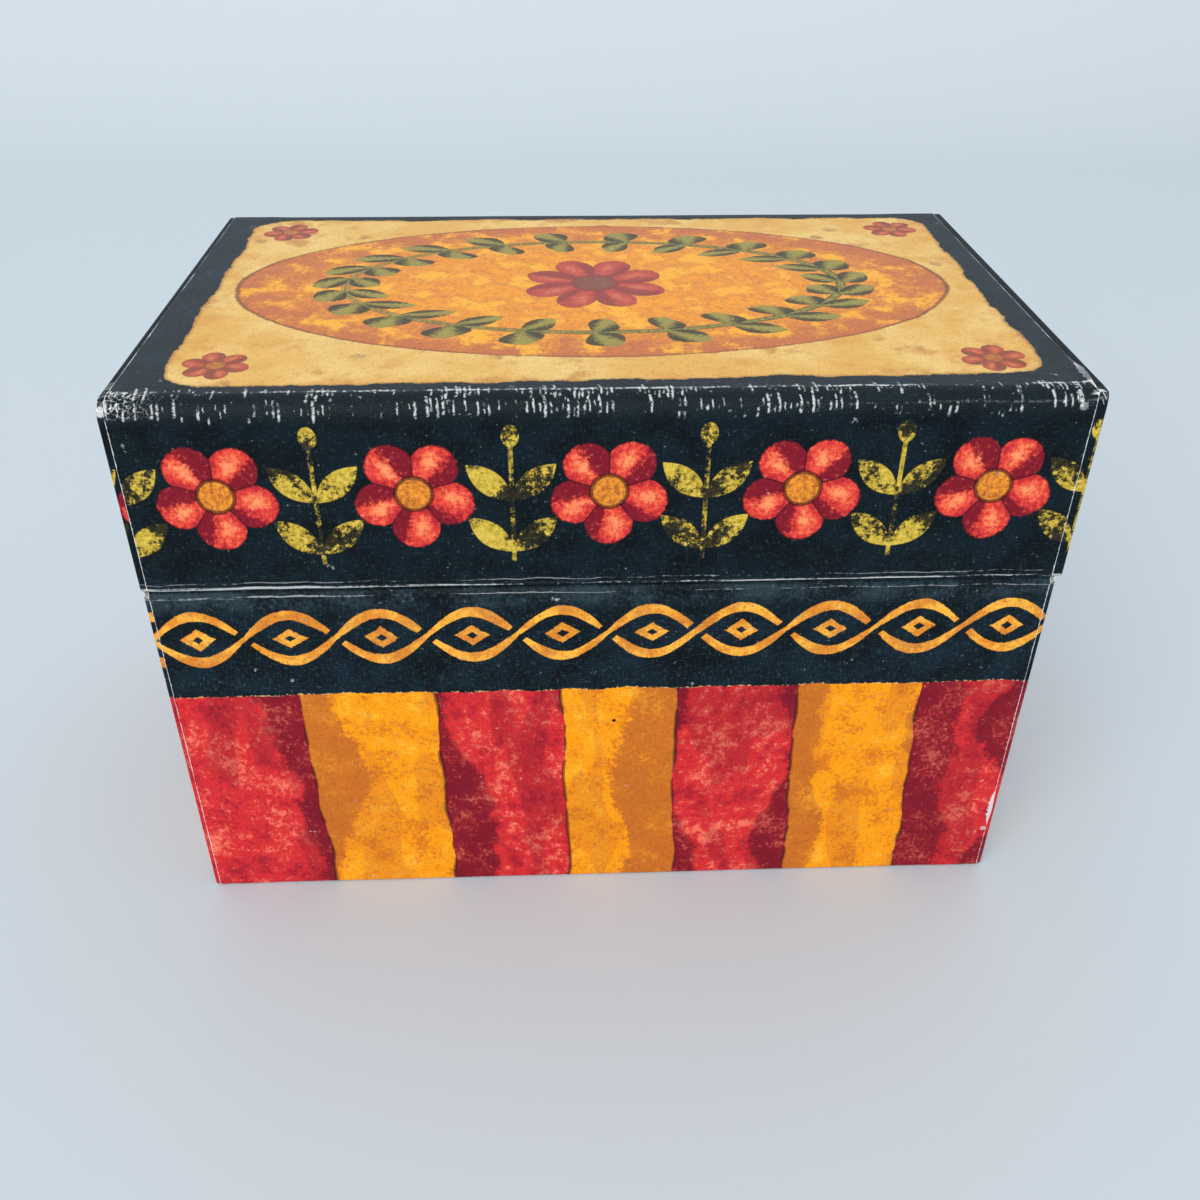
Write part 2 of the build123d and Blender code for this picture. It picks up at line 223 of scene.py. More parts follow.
# %% Finishes
class Finish:
    """The node tree of a new material, or of the world, while it is written."""

    def __init__(self, name, owner=None):
        self.owner = owner or bpy.data.materials.new(name)
        self.owner.use_nodes = True
        self.tree = self.owner.node_tree
        self.tree.nodes.clear()

    def node(self, kind, settings=None, values=None, output=0):
        """New node: its settings first, then the values or links of its sockets."""
        made = self.tree.nodes.new("ShaderNode" + kind)
        for key, value in (settings or {}).items():
            setattr(made, key, value)
        for key, value in (values or {}).items():
            if isinstance(value, Value):
                self.tree.links.new(value.socket, made.inputs[key])
            else:
                made.inputs[key].default_value = value
        return Value(self, made.outputs[output]) if made.outputs else None

    def vector(self, x, y, z=0.0):
        """Vector made of three numbers."""
        return self.node("CombineXYZ", None, {0: x, 1: y, 2: z})

    def parts(self, vector):
        """The x, y and z of a vector."""
        return [self.node("SeparateXYZ", None, {0: vector}, k) for k in range(3)]

    def print_place(self):
        """Place on the flat sheet in mm and distance from the cut edge, and how exposed it is."""
        place, rub = (self.node("Attribute", {"attribute_name": name}, None, output)
                      for name, output in (("print_at", 1), ("rub", 2)))
        return place, rub

    def object_place(self):
        """Place on the object, in mm."""
        place = self.node("TexCoord", None, None, 3)
        return self.node("VectorMath", {"operation": "SCALE"}, {0: place, "Scale": 1000.0})

    def noise(self, at, size, detail=2.0, rough=0.5, flat=True):
        """Cloudy noise, 0 to 1, whose lumps are about `size` mm wide. On a sheet it is flat."""
        settings = {"noise_dimensions": "2D" if flat else "3D"}
        values = {"Vector": at, "Scale": 1 / size, "Detail": detail, "Roughness": rough}
        return self.node("TexNoise", settings, values)

    def cells(self, at, size, feature="F1"):
        """Distance from the middle, or from the edge, of scattered cells `size` mm wide."""
        settings = {"voronoi_dimensions": "2D", "feature": feature}
        return self.node("TexVoronoi", settings, {"Vector": at, "Scale": 1 / size}, "Distance")

    def most(self, *values):
        """The largest of several values."""
        first, *others = values
        for other in others:
            first = self.node("Math", {"operation": "MAXIMUM"}, {0: first, 1: other})
        return first

    def chance(self, value):
        """A fixed chance number, 0 to 1, for each whole value."""
        return self.node("TexWhiteNoise", {"noise_dimensions": "1D"}, {"W": value})

    def coats(self, colour, *layers):
        """Lays shades over a colour, one after the other, each by its share from 0 to 1."""
        for share, shade in layers:
            values = {0: share, 6: colour, 7: shade}
            colour = self.node("Mix", {"data_type": "RGBA"}, values, 2)
        return colour

    def surface(self, colour, roughness, height=None, depth_mm=0.1, specular=0.16):
        """Ends the finish: a Principled surface with a bump of that depth."""
        values = {"Base Color": colour, "Roughness": roughness, "Specular IOR Level": specular}
        if height is not None:
            bump = {"Height": height, "Distance": depth_mm * 0.001, "Strength": 1.0}
            values["Normal"] = self.node("Bump", None, bump)
        self.node("OutputMaterial", None, {"Surface": self.node("BsdfPrincipled", None, values)})
        print(self.owner.name, "nodes", len(self.tree.nodes))
        return self.owner


# %% [markdown]
# ## Floor and light
#
# A sheet of pale paper is swept up behind the box, so that no horizon shows. The light is a
# soft white sky all round, with two square lamps: a large one above and behind the camera
# that gives the edges a little shape, and a weak one overhead that puts a sheen on the lid.
# Beyond the paper the camera would see the sky, so camera rays get a backdrop of the paper's
# own tone. Mirror and glass rays get it too, and only the light on the box comes from the sky.

# %% Sweep of pale paper
FLOOR_COLOUR = (0.545, 0.604, 0.645, 1.0)
FLOOR_HALF, SWEEP_AT, SWEEP_RADIUS, SWEEP_TOP = 6.0, 0.55, 0.35, 2.2  # metres


def studio_floor():
    """Floor z = 0 carried along x, with a quarter circle up to a wall behind the box."""
    flat = np.linspace(-FLOOR_HALF, SWEEP_AT, 40)
    arc = np.linspace(0, math.pi / 2, 20)[1:]
    wall = np.linspace(SWEEP_RADIUS, SWEEP_TOP, 10)[1:]
    wall_y = np.full(len(wall), SWEEP_AT + SWEEP_RADIUS)
    y = np.concatenate([flat, SWEEP_AT + SWEEP_RADIUS * np.sin(arc), wall_y])
    z = np.concatenate([0 * flat, SWEEP_RADIUS * (1 - np.cos(arc)), wall])
    x = np.linspace(-FLOOR_HALF, FLOOR_HALF, 24)
    points = np.stack(np.broadcast_arrays(x, y[:, None], z[:, None]), -1).reshape(-1, 3)
    mesh = bpy.data.meshes.new("studio_floor")
    mesh.from_pydata(points, [], grid_faces(len(y), len(x))[:, [0, 3, 2, 1]].tolist())
    mesh.shade_smooth()
    return placed(mesh)


def grid_faces(rows, cols):
    """Faces of a grid of points, each turned from its row to the next."""
    index = np.arange(rows * cols).reshape(rows, cols)
    return np.stack([index[:-1, :-1], index[1:, :-1], index[1:, 1:], index[:-1, 1:]], -1).reshape(-1, 4)


def placed(mesh):
    """Object of the mesh's name in the scene, at the origin."""
    piece = bpy.data.objects.new(mesh.name, mesh)
    scene.collection.objects.link(piece)
    return piece


floor = studio_floor()
floor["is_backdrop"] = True
floor.data.materials.append(Finish("pale studio floor").surface(FLOOR_COLOUR, 0.85))

# %% Sky and lamps
scene.view_settings.view_transform = "Standard"
scene.world = bpy.data.worlds.new("soft sky")
sky = Finish("soft sky", scene.world)
sky_light = sky.node("Background", None, {"Color": (0.93, 0.965, 1.0, 1.0), "Strength": 0.6})
backdrop = sky.node("Background", None, {"Color": (0.66, 0.75, 0.81, 1.0)})
seen_by = [
    sky.node("LightPath", None, None, f"Is {kind} Ray") for kind in ("Camera", "Glossy", "Transmission")]
mixed = sky.node("MixShader", None, {0: sky.most(*seen_by), 1: sky_light, 2: backdrop})
sky.node("OutputWorld", None, {"Surface": mixed})


def soft_lamp(name, at, towards, size, watts):
    """Square area lamp of `size` metres, turned to face a point."""
    data = bpy.data.lights.new(name, "AREA")
    data.shape, data.size, data.energy = "SQUARE", size, watts
    lamp = placed(data)
    lamp.location = at
    lamp.visible_camera = False
    lamp.rotation_euler = (Vector(towards) - Vector(at)).to_track_quat("-Z", "Y").to_euler()


soft_lamp("key lamp", (-0.8, -2.25, 1.7), (0, 0, 0.06), 3.2, 87)
soft_lamp("top lamp", (0.15, 0.45, 1.3), (0, 0, 0.1), 1.2, 4)

# %% [markdown]
# ## Meshes from arrays
#
# Every new piece is a sheet of paper. A sheet is worked out as a grid of points for its
# printed face and a grid of unit normals; its glued face is the same grid moved in by the
# thickness, and a ring of narrow faces closes the cut edge. Solidify could do the same, but
# with arrays the cut edge can have its own white finish and the wear can know how far it is
# from the edge.

# %% A path with rounded corners
def quarter(vector):
    """A 2-D vector turned a quarter to the left."""
    return np.array([-vector[1], vector[0]])


def rounded_path(corners, radii, steps, turn_step=12):
    """Path through 2-D corners, each rounded by its own radius.

    Along a run the points divide the straight line evenly. Round a corner they lie on the
    arc that touches both runs, centre plus radius times the turned start direction, at most
    `turn_step` degrees apart. Returns the points, the unit normals (the direction of travel
    turned a quarter to the left) and the distance travelled.
    """
    corners = np.asarray(corners, float)
    runs = np.diff(corners, axis=0)
    ways = runs / np.hypot(*runs.T)[:, None]
    bends = [math.atan2(quarter(a) @ b, a @ b) for a, b in zip(ways, ways[1:])] + [0.0]
    points, headings, start = [corners[:1]], [ways[:1]], corners[0]
    for corner, way, step, radius, bend in zip(corners[1:], ways, steps, [*radii, 0], bends):
        end = corner - way * radius * math.tan(abs(bend) / 2)
        count = max(1, round(float(np.hypot(*(end - start))) / step))
        share = np.linspace(0, 1, count + 1)[1:, None]
        points.append(start + (end - start) * share)
        headings.append(np.repeat(way[None], count, 0))
        start = end
        if radius * bend:
            count = max(2, math.ceil(abs(bend) / math.radians(turn_step)))
            angle = np.linspace(0, bend, count + 1)[1:, None]
            spoke = -quarter(way) * math.copysign(1, bend)
            arc = spoke * np.cos(angle) + quarter(spoke) * np.sin(angle)
            points.append(end + radius * (arc - spoke))
            headings.append(way * np.cos(angle) + quarter(way) * np.sin(angle))
            start = points[-1][-1]
    points, headings = np.concatenate(points), np.concatenate(headings)
    travelled = np.concatenate([[0], np.cumsum(np.hypot(*np.diff(points, axis=0).T))])
    return points, np.stack([-headings[:, 1], headings[:, 0]], 1), travelled


def soft_step(value, low, high):
    """0 below low, 1 above high, and the smooth cubic 3t^2 - 2t^3 between them."""
    t = np.clip((value - low) / (high - low), 0, 1)
    return t * t * (3 - 2 * t)


def hump(value, middle, width):
    """Bell curve exp(-(distance / width)^2)."""
    return np.exp(-(((value - middle) / width) ** 2))


# %% A closed sheet of paper
def paper(name, face, normal, place, rub, thickness=PAPER):
    """Mesh object of a sheet whose outer face is the grid `face`, in millimetres.

    The inner face is face minus normal times thickness. Faces 0 are the outer grid, 1 the
    inner grid and 2 the ring round the cut edge. `place` says where each point lies on the
    flat printed sheet and how far from the cut edge; `rub` is how exposed it is.
    """
    rows, cols = face.shape[:2]
    count = rows * cols
    points = np.concatenate([face.reshape(-1, 3), (face - normal * thickness).reshape(-1, 3)])
    index = np.arange(count).reshape(rows, cols)
    outer = grid_faces(rows, cols)
    ring = np.concatenate([index[0, :-1], index[:-1, -1], index[-1, :0:-1], index[:0:-1, 0]])
    after = np.roll(ring, -1)
    edge = np.stack([ring, after, after + count, ring + count], -1)
    quads = np.concatenate([outer, outer[:, ::-1] + count, edge])
    across = np.cross(face[1:, :-1] - face[:-1, :-1], face[:-1, 1:] - face[:-1, :-1])
    if float((across * normal[:-1, :-1]).sum()) < 0:
        quads = quads[:, ::-1]
    mesh = bpy.data.meshes.new(name)
    mesh.from_pydata(crushed_corner(points) * 0.001, [], quads.tolist())
    kinds = np.repeat([0, 1, 2], [len(outer), len(outer), len(edge)])
    mesh.polygons.foreach_set("material_index", kinds.astype(np.int32))
    keep(mesh, "print_at", "FLOAT_VECTOR", "vector", np.stack(np.broadcast_arrays(*place), -1))
    keep(mesh, "rub", "FLOAT", "value", np.broadcast_to(rub, (rows, cols)))
    weld(mesh)
    print(name, "faces", len(mesh.polygons))
    return placed(mesh)


def keep(mesh, name, kind, field, grid):
    """Keeps a value for each point, the same on a sheet's outer and inner face."""
    values = np.concatenate([grid.ravel(), grid.ravel()]).astype(np.float32)
    mesh.attributes.new(name, kind, "POINT").data.foreach_set(field, values)


def crushed_corner(points):
    """Squares the rounded edge near the lid's right-hand corner, where a knock has crushed it.

    About the rounding's centre a point lies at (a, b). Scaling it by hypot(a, b) / max(a, b)
    would turn the arc into a square corner; the share of that grows towards the lid's end.
    """
    crushed_width, whole = 5.5, 0.9
    x, y, z = points.T
    a, b = BACK + HINGE_EDGE - y, z - EDGE_START
    far, square = np.hypot(a, b), np.maximum(np.maximum(a, b), 1e-6)
    share = soft_step(x, LID_END - crushed_width, LID_END - 0.9) * np.clip(far / HINGE_EDGE, 0, 1) ** 2
    grow = np.where((a > 0) & (b > 0), 1 + (far / square - 1) * share * whole, 1.0)
    return np.stack([x, BACK + HINGE_EDGE - a * grow, EDGE_START + b * grow], 1)


def weld(mesh):
    """Joins points that fall together, as where a corner's arcs meet at its middle."""
    work = bmesh.new()
    work.from_mesh(mesh)
    bmesh.ops.remove_doubles(work, verts=work.verts, dist=3e-6)
    bmesh.ops.dissolve_degenerate(work, edges=work.edges, dist=1e-7)
    work.to_mesh(mesh)
    work.free()
    mesh.shade_smooth()
    mesh.set_sharp_from_angle(angle=math.radians(40))


# %% [markdown]
# ## The large printed sheet
#
# The sheet that makes the hinge is one piece of paper, so it is one surface here: a profile
# in y and z carried along x. Its path starts under the base, turns up the hinge side,
# crosses the crease, rounds the top edge, runs over the lid, down the opening side, under
# the rim and up inside. Small heights are added along the normal: the groove pressed into
# the crease with a fine ridge on each side, the sheet sinking a little between the flaps
# that lie under it, and the two places where its cut edge has come unstuck.

# %% Sheets carried along x
NEAR_EDGE = (0, 0.12, 0.3, 0.55, 0.9, 1.4, 2.1, 3.0, 4.2, 5.8)  # stations beside a cut edge
MITRE = 10.95  # a sheet is cut back by this where it goes under the floor


def stations(width, near=NEAR_EDGE, step=3.2):
    """Shares 0 to 1 across a sheet: close together near both cut edges, even between them."""
    near = np.asarray(near)
    count = max(2, round((width - 2 * near[-1]) / step))
    middle = np.linspace(near[-1], width - near[-1], count + 1)[1:-1]
    return np.concatenate([near, middle, width - near[::-1]]) / width


def carried(x, profile, out, height):
    """Grids of points and normals: a (y, z) profile carried along x and raised by `height`."""
    y, z, out_y, out_z = (column[:, None] + 0 * x for column in (*profile.T, *out.T))
    normal = np.stack([0 * x, out_y, out_z], -1)
    return np.stack([x, y, z], -1) + normal * height[..., None], normal


def edge_distance(q, travelled, width):
    """Distance to the nearest cut edge of a sheet: the least of those to its four sides."""
    side = np.minimum(q, 1 - q) * width
    end = np.minimum(travelled, travelled[-1] - travelled)
    return np.minimum(side, end[:, None])


def glued_height(x, travelled, middle, half, wave, roll):
    """Sheet's height over the boards: full over the flaps under it, 0.09 mm lower between.

    A product of two slow sines, 0.025 mm high, is the unevenness of the glue.
    """
    flap = soft_step(np.abs(x - middle), half - FLAP - 0.5, half - FLAP + 1.2)
    return 0.09 * (flap - 1) + 0.025 * np.sin(x / wave[0] + wave[1]) * np.sin(travelled / roll)[:, None]


# %% Cover sheet
CREASE_FORM = (  # height, place above the crease and width of its groove and ridges
    (-0.34, 0.0, 0.42), (0.16, -1.0, 0.34), (0.2, 0.95, 0.3), (-0.07, 1.45, 0.2), (0.11, 1.9, 0.22),
)
LIFTED = ((0.85, 2.4, 1.6), (0.6, 1.5, 1.3))  # tear and sliver: height, width, how it curls


def cover_height(x, y, z, from_right):
    """Heights on the large sheet: the pressed crease, and the tear and sliver at its right edge.

    The crease is a sum of bell curves in z, deeper and shallower along x, with one more
    ridge that wanders. A lifted edge rises as (1 - distance / width)^curl along a bell.
    """
    on_back = y < BACK + 0.05
    groove = sum(height * hump(z, CREASE + at, width) for height, at, width in CREASE_FORM)
    wander = 0.25 * np.sin(x / 11.0) + 0.16 * np.sin(x / 4.3 + 1.0)
    second = 0.08 * hump(z + wander, CREASE + 2.9, 0.2) * soft_step(-x, -20, 60)
    total = (groove * (0.8 + 0.2 * np.sin(x / 17.0 + 2.0)) + second) * on_back
    torn = hump(y, BACK + 7.5, 3.6) * (z > TOP - 2)
    sliver = hump(z, SLIVER_V, 3.2) * on_back
    for where, (height, width, curl) in zip((torn, sliver), LIFTED):
        total = total + height * where * np.clip(1 - from_right / width, 0, 1) ** curl
    return total


def cover_sheet():
    """Profile (y, z) carried along x: point(s, q) = (left(s) + q (right(s) - left(s)), y(s), z(s))."""
    corners = [
        (BACK + FLAP, PAPER), (BACK + 1.3, PAPER), (BACK + 0.9, LEVEL), (BACK, LEVEL),
        (BACK, CREASE - 3.4), (BACK, CREASE + 4.6), (BACK, TOP), (LID_FRONT, TOP),
        (LID_FRONT, LID_RIM), (LID_INSIDE[1], LID_RIM), (LID_INSIDE[1], LID_RIM + FLAP),
    ]
    radii = [0, 0, FOOT, 0, 0, HINGE_EDGE, FRONT_EDGE, 0.4, 0.3]
    steps = [2, 0.4, 0.4, 2.5, 0.1, 2.5, 2.5, 2.5, 1, 1.5]
    profile, out, travelled = rounded_path(corners, radii, steps, 9)
    y, z = profile.T[..., None]
    under = (z < FOOT) & (y > BACK + FOOT - 0.01)
    inside = (y < LID_FRONT - 0.41) & (z < LID_RIM + FLAP + 0.1) & (y > 0)
    front = y > LID_FRONT - FRONT_EDGE + 0.02
    hinge_side = y < BACK + HINGE_EDGE
    deep = np.where(under, y - (BACK + FOOT), 0)
    half, middle = (SHEET_RIGHT - SHEET_LEFT) / 2, (SHEET_RIGHT + SHEET_LEFT) / 2
    mitre = MITRE * soft_step(deep, 0.05, 0.6)
    taper = 2.5 * soft_step(z, LID_RIM + 1, LID_RIM + FLAP)
    left = np.where(inside, taper - LID_INSIDE[0], middle - half + mitre)
    right = np.where(inside, LID_INSIDE[0] - taper, middle + half - mitre)
    q = stations(2 * half)
    x = left + q * (right - left)
    height = cover_height(x, y, z, right - x)
    height += glued_height(x, travelled, middle, half, (9.1, 0.5), 12.7) * ~(inside | under)
    face, normal = carried(x, profile, out, height)

    turned = np.arccos(np.clip((BACK + HINGE_EDGE - y) / HINGE_EDGE, -1, 1))
    along = np.select(
        [inside, front, under, hinge_side & (z > EDGE_START), hinge_side],
        [INSIDE_MARK + z - LID_RIM + (LID_FRONT - y), z, z - deep, EDGE_START + HINGE_EDGE * turned, z],
        y + TOP_SHIFT)
    place = (np.where(front, ROUND - x, x), along, edge_distance(q, travelled, 2 * half))
    rub = hump(along, TOP_START - 0.3, 0.9) + 0.8 * hump(along, EDGE_START + 0.6, 0.8)
    rub += hump(y, LID_FRONT - 0.3, 0.5) * (z > TOP - 1.2)
    rub += hump(z, LID_RIM + 0.1, 0.35) * (y > LID_FRONT - 1)
    rub += hump(z, PAPER + 0.15, 0.35) * (y < BACK + 0.5)
    return paper("cover_sheet", face, normal, place, np.clip(rub, 0, 1))


cover = cover_sheet()

# %% [markdown]
# ## The end wraps
#
# Each end of the lid and of the base is wrapped first: the paper covers the end board, turns
# round its three outer edges as a flap and goes over the rim. One grid can do all of it. Its
# columns follow the outline of the end from one rim to the other, and its rows run from the
# edge of the flap, round the corner, down the end face to the rim, and up the inside.

# %% An end wrap
FLAP_ROWS = (FLAP, 9.0, 6.0, 4.0, 3.0, 2.2, 1.6, 1.2)  # depths of a flap's rows, in from the end


def end_wrap(name, side, middle, end, outline, radii, steps, foot_y, rim, rim_radius, inside, corner):
    """Grid of an end wrap; s runs along the outline, rows run across it.

    Flap: x goes to the corner while (y, z) = outline(s). Corner: x and the outline move in by
    radius times (1 - sin a) and (1 - cos a). End face: straight lines from the outline to
    evenly spaced points on the rim. Rim and inside: an (x, z) profile with rounded corners,
    carried along y between limits that draw in.
    """
    line, out, travelled = rounded_path(outline, radii, steps, 10)
    share = travelled / travelled[-1]
    out_y, out_z = out.T
    flat = 0 * share
    x_end = middle + side * end
    rows, normals, exposed = [], [], []

    def add(x, yz, normal, rub):
        rows.append(np.stack([x + flat, *yz], 1))
        normals.append(np.stack([part + flat for part in normal], 1))
        exposed.append(rub + flat)

    for depth in FLAP_ROWS:
        add(x_end - side * depth, line.T, (0, out_y, out_z), 0.0)
    for angle in np.radians(np.linspace(0, 90, 8)):
        sine, cosine = math.sin(angle), math.cos(angle)
        add(x_end - side * corner * (1 - sine), (line - out * corner * (1 - cosine)).T,
            (side * sine, out_y * cosine, out_z * cosine),
            math.sin(2 * angle) * (1 + 1.3 * np.abs(out_y * out_z)))
    start = (line - out * corner).T
    turn = 1 if outline[0][1] < outline[1][1] else -1
    foot = np.stack([foot_y[0] + (foot_y[1] - foot_y[0]) * share, rim + turn * rim_radius + flat])
    for t in (0.008, 0.03, *np.linspace(0, 1, 12)[1:]):
        add(x_end, start * (1 - t) + foot * t, (side, 0, 0), 0.35 * math.exp(-t / 0.012))
    tuck = [(x_end, rim + turn * (rim_radius + 0.01)), (x_end, rim), (inside, rim),
            (inside, rim + turn * FLAP)]
    profile, facing, gone = rounded_path(tuck, [rim_radius, 0.3], [1, 1, 1.5])
    if side * facing[0, 0] < 0:
        facing = -facing
    for (x, z), (out_x, up), far in zip(profile[1:], facing[1:], gone[1:]):
        drawn_in = 2.1 * soft_step(far, 0.5, 2.6) + 2.0 * soft_step(far, 3.0, gone[-1])
        y0, y1 = (y + math.copysign(drawn_in, -y) for y in foot_y)
        add(x, (y0 + (y1 - y0) * share, z + flat), (out_x, 0, up), hump(far, 0.35, 0.4))
    face, normal, rub = np.array(rows), np.array(normals), np.array(exposed)
    x, y, z = np.moveaxis(face, -1, 0)
    tucked = (np.arange(len(rows)) >= len(rows) - len(profile) + 2)[:, None]
    along = np.where(tucked, INSIDE_MARK + np.abs(z - rim) + np.abs(x - x_end), z)
    round_at = side * (np.abs(x) + (y - BACK)) + (7.0 if side < 0 else 0.0)
    fall = np.abs(np.diff(face[:, len(line) // 2], axis=0)).sum(1)
    fall = np.concatenate([[0], np.cumsum(fall)])[:, None]
    near_edge = np.minimum(
        np.minimum(travelled, travelled[-1] - travelled), np.minimum(fall, fall[-1] - fall))
    near_edge = np.where((np.abs(normal[..., 0]) > 0.2) & ~tucked, 9.0, near_edge)
    return paper(name, face, normal, (round_at, along, near_edge), rub)


wraps = {}
for end_name, side in (("left", -1), ("right", 1)):
    wraps["lid", end_name] = end_wrap(
        f"lid_{end_name}_end_wrap", side, 0.0, LID_END,
        [(BACK + PAPER, BACK_RIMS[1]), (BACK + PAPER, TOP - PAPER),
         (LID_FRONT - PAPER, TOP - PAPER), (LID_FRONT - PAPER, LID_RIM)],
        [HINGE_EDGE - PAPER, CORNER], [2.5, 2.5, 2.5],
        (BACK + PAPER + CORNER, LID_FRONT - PAPER - CORNER), LID_RIM, 0.4, side * LID_INSIDE[0], CORNER)
    wraps["base", end_name] = end_wrap(
        f"base_{end_name}_end_wrap", side, BASE_MID, BASE_END,
        [(BASE_FRONT - PAPER, BASE_RIM), (BASE_FRONT - PAPER, PAPER),
         (BACK + PAPER, PAPER), (BACK + PAPER, BACK_RIMS[0])],
        [FOOT, FOOT], [3, 2.5, 3],
        (BASE_FRONT - PAPER - BASE_CORNER, BACK + PAPER + BASE_CORNER), BASE_RIM, 0.35,
        BASE_MID + side * BASE_INSIDE[0], BASE_CORNER)

# %% [markdown]
# ## The opening side of the base
#
# The front of the base has a printed sheet of its own, turned in under the floor and over
# the rim. It is a shorter profile of the same kind as the large sheet.

# %% Front sheet
def base_front():
    """Profile (y, z) carried along x, from the flap inside the rim to the flap under the floor."""
    corners = [
        (BASE_INSIDE[1], BASE_RIM - FLAP), (BASE_INSIDE[1], BASE_RIM), (BASE_FRONT, BASE_RIM),
        (BASE_FRONT, LEVEL), (BASE_FRONT - 0.9, LEVEL), (BASE_FRONT - 1.3, PAPER), (BASE_FRONT - FLAP, PAPER),
    ]
    profile, out, travelled = rounded_path(corners, [0.3, 0.35, FOOT, 0, 0], [1.5, 1, 2.5, 0.4, 0.4, 2], 10)
    y, z = profile.T[..., None]
    under = (z < FOOT) & (y < BASE_FRONT - FOOT + 0.01)
    inside = (y < BASE_FRONT - 0.36) & (z > BASE_RIM - FLAP - 0.1)
    deep = np.where(under, BASE_FRONT - FOOT - y, 0)
    half = (SHEET_RIGHT - SHEET_LEFT) / 2
    taper = 2.2 * soft_step(BASE_RIM - z, 1, FLAP)
    reach = np.where(inside, BASE_INSIDE[0] - taper, half - MITRE * soft_step(deep, 0.05, 0.6))
    q = stations(2 * half)
    x = BASE_MID + (2 * q - 1) * reach
    height = glued_height(x, travelled, BASE_MID, half, (8.3, 0.0), 11.0) * ~(inside | under)
    face, normal = carried(x, profile, out, height)
    along = np.where(inside, INSIDE_MARK + (BASE_RIM - z) + (BASE_FRONT - y), z - deep)
    rub = hump(z, BASE_RIM - 0.1, 0.35) * (y > BASE_FRONT - 1)
    rub += hump(z, PAPER + 0.15, 0.35) * (y > BASE_FRONT - 0.5)
    place = (ROUND - x, along, edge_distance(q, travelled, 2 * half))
    return paper("base_front_paper", face, normal, place, np.clip(rub, 0, 1))


front_sheet = base_front()

# %% [markdown]
# ## The lining papers
#
# The inside of the hinge is backed with a strip of lining paper that dips between the two
# back boards, and a second strip goes up the inside of the neck, over its top and down
# behind the rim of the base. Both are folded paper, so their folds are rounded.

# %% Hinge strip
def hinge_lining():
    """Profile (y, z) up the base's wall, out to the crease and up the lid's wall, along x."""
    low, high = span("hinge_strip")
    width = high[0] - low[0]
    gap_low, gap_high = BACK_RIMS
    crease_face = low[1] + PAPER
    corners = [
        (STRIP_FACE, low[2]), (STRIP_FACE, gap_low + 0.15), (crease_face, gap_low + 0.25),
        (crease_face, gap_high - 0.25), (STRIP_FACE, gap_high - 0.15), (STRIP_FACE, high[2]),
    ]
    profile, out, travelled = rounded_path(corners, [0.3, 0.25, 0.25, 0.3], [1.5, 0.4, 0.15, 0.4, 1.5], 15)
    q = stations(width, near=(0, 0.4, 1.2, 2.5), step=4)
    x = low[0] + q * width + 0 * travelled[:, None]
    face, normal = carried(x, profile, -out, 0 * x)
    face[..., 1] -= 0.03 * np.sin(x / 7.0 + profile[:, 1:] / 5.0)
    place = (x, travelled[:, None], edge_distance(q, travelled, width))
    return paper("inner_hinge_strip", face, normal, place, 0.0)


inner_strip = hinge_lining()


# %% Neck lining
def neck_cover():
    """Section (inwards, z) over the neck wall, carried round the U-shaped plan of the neck.

    The plan runs up one side, across the front and back down the other with small round
    corners; a point is plan(s) minus inwards(t) times the plan's outward normal. The wall's
    inner face meets at square corners, so points past its two planes are moved back to them.
    """
    wall, turned_down, fold = 1.8, 8.0, 0.5
    low, high = span("neck_lining")
    plan = [(low[0], low[1]), (low[0], high[1]), (high[0], high[1]), (high[0], low[1])]
    line, out, plan_gone = rounded_path(plan, [fold, fold], [4, 4, 4], 15)
    section = [(0, BASE_RIM - turned_down), (0, high[2]), (wall, high[2]), (wall, low[2])]
    cut, facing, travelled = rounded_path(section, [fold, fold], [3, 0.3, 4], 15)
    inwards, z = cut.T[..., None]
    facing_out, facing_up = facing.T[..., None]
    (plan_x, plan_y), (turn_x, turn_y) = line.T, out.T
    x = np.clip(plan_x - inwards * turn_x, low[0] + inwards, high[0] - inwards)
    y = np.minimum(plan_y - inwards * turn_y, high[1] - inwards)
    face = np.stack(np.broadcast_arrays(x, y, z), -1)
    normal = np.stack(np.broadcast_arrays(-facing_out * turn_x, -facing_out * turn_y, facing_up), -1)
    from_end = np.minimum(travelled, travelled[-1] - travelled)[:, None]
    near_edge = np.minimum(from_end, np.minimum(plan_gone, plan_gone[-1] - plan_gone))
    place = (plan_gone, travelled[:, None], near_edge)
    return paper("neck_lining_paper", face, normal, place, hump(z, high[2], 0.4), LINING)


neck_paper = neck_cover()

# %% [markdown]
# ## The printed paper
#
# The print is watercolour: every flat of colour has a cloudy wash, a sponged light part and
# a shadow block with a hard edge, and thin dark lines that wander. It is drawn with sums on
# the place on the flat sheet, so it runs round corners and bends with the hinge. u is the
# distance round the box and v the height, both in millimetres.

# %% A printed sheet
TAU = 2 * math.pi
STRIPE_TOP = 53.0  # height of the striped skirt
STRIPE_PITCH = 24.66
STRIPE_START = 63.2  # u at which one red stripe starts
ROSETTE_PITCH = 34.3
ROSETTE_V = 97.0
PLAIT_V = 66.4

GROUND, GROUND_LIGHT = ink(4, 14, 19), ink(13, 32, 42)
RED, CORAL, MAROON = ink(206, 44, 48), ink(244, 122, 98), ink(116, 18, 36)
GOLD, GOLD_LIGHT, BROWN = ink(246, 152, 16), ink(255, 190, 58), ink(188, 102, 36)
LINE = ink(50, 14, 20)
LEAF, LEAF_DARK = ink(184, 156, 52), ink(96, 84, 38)
CORE = ink(214, 216, 216)  # bare white paper core


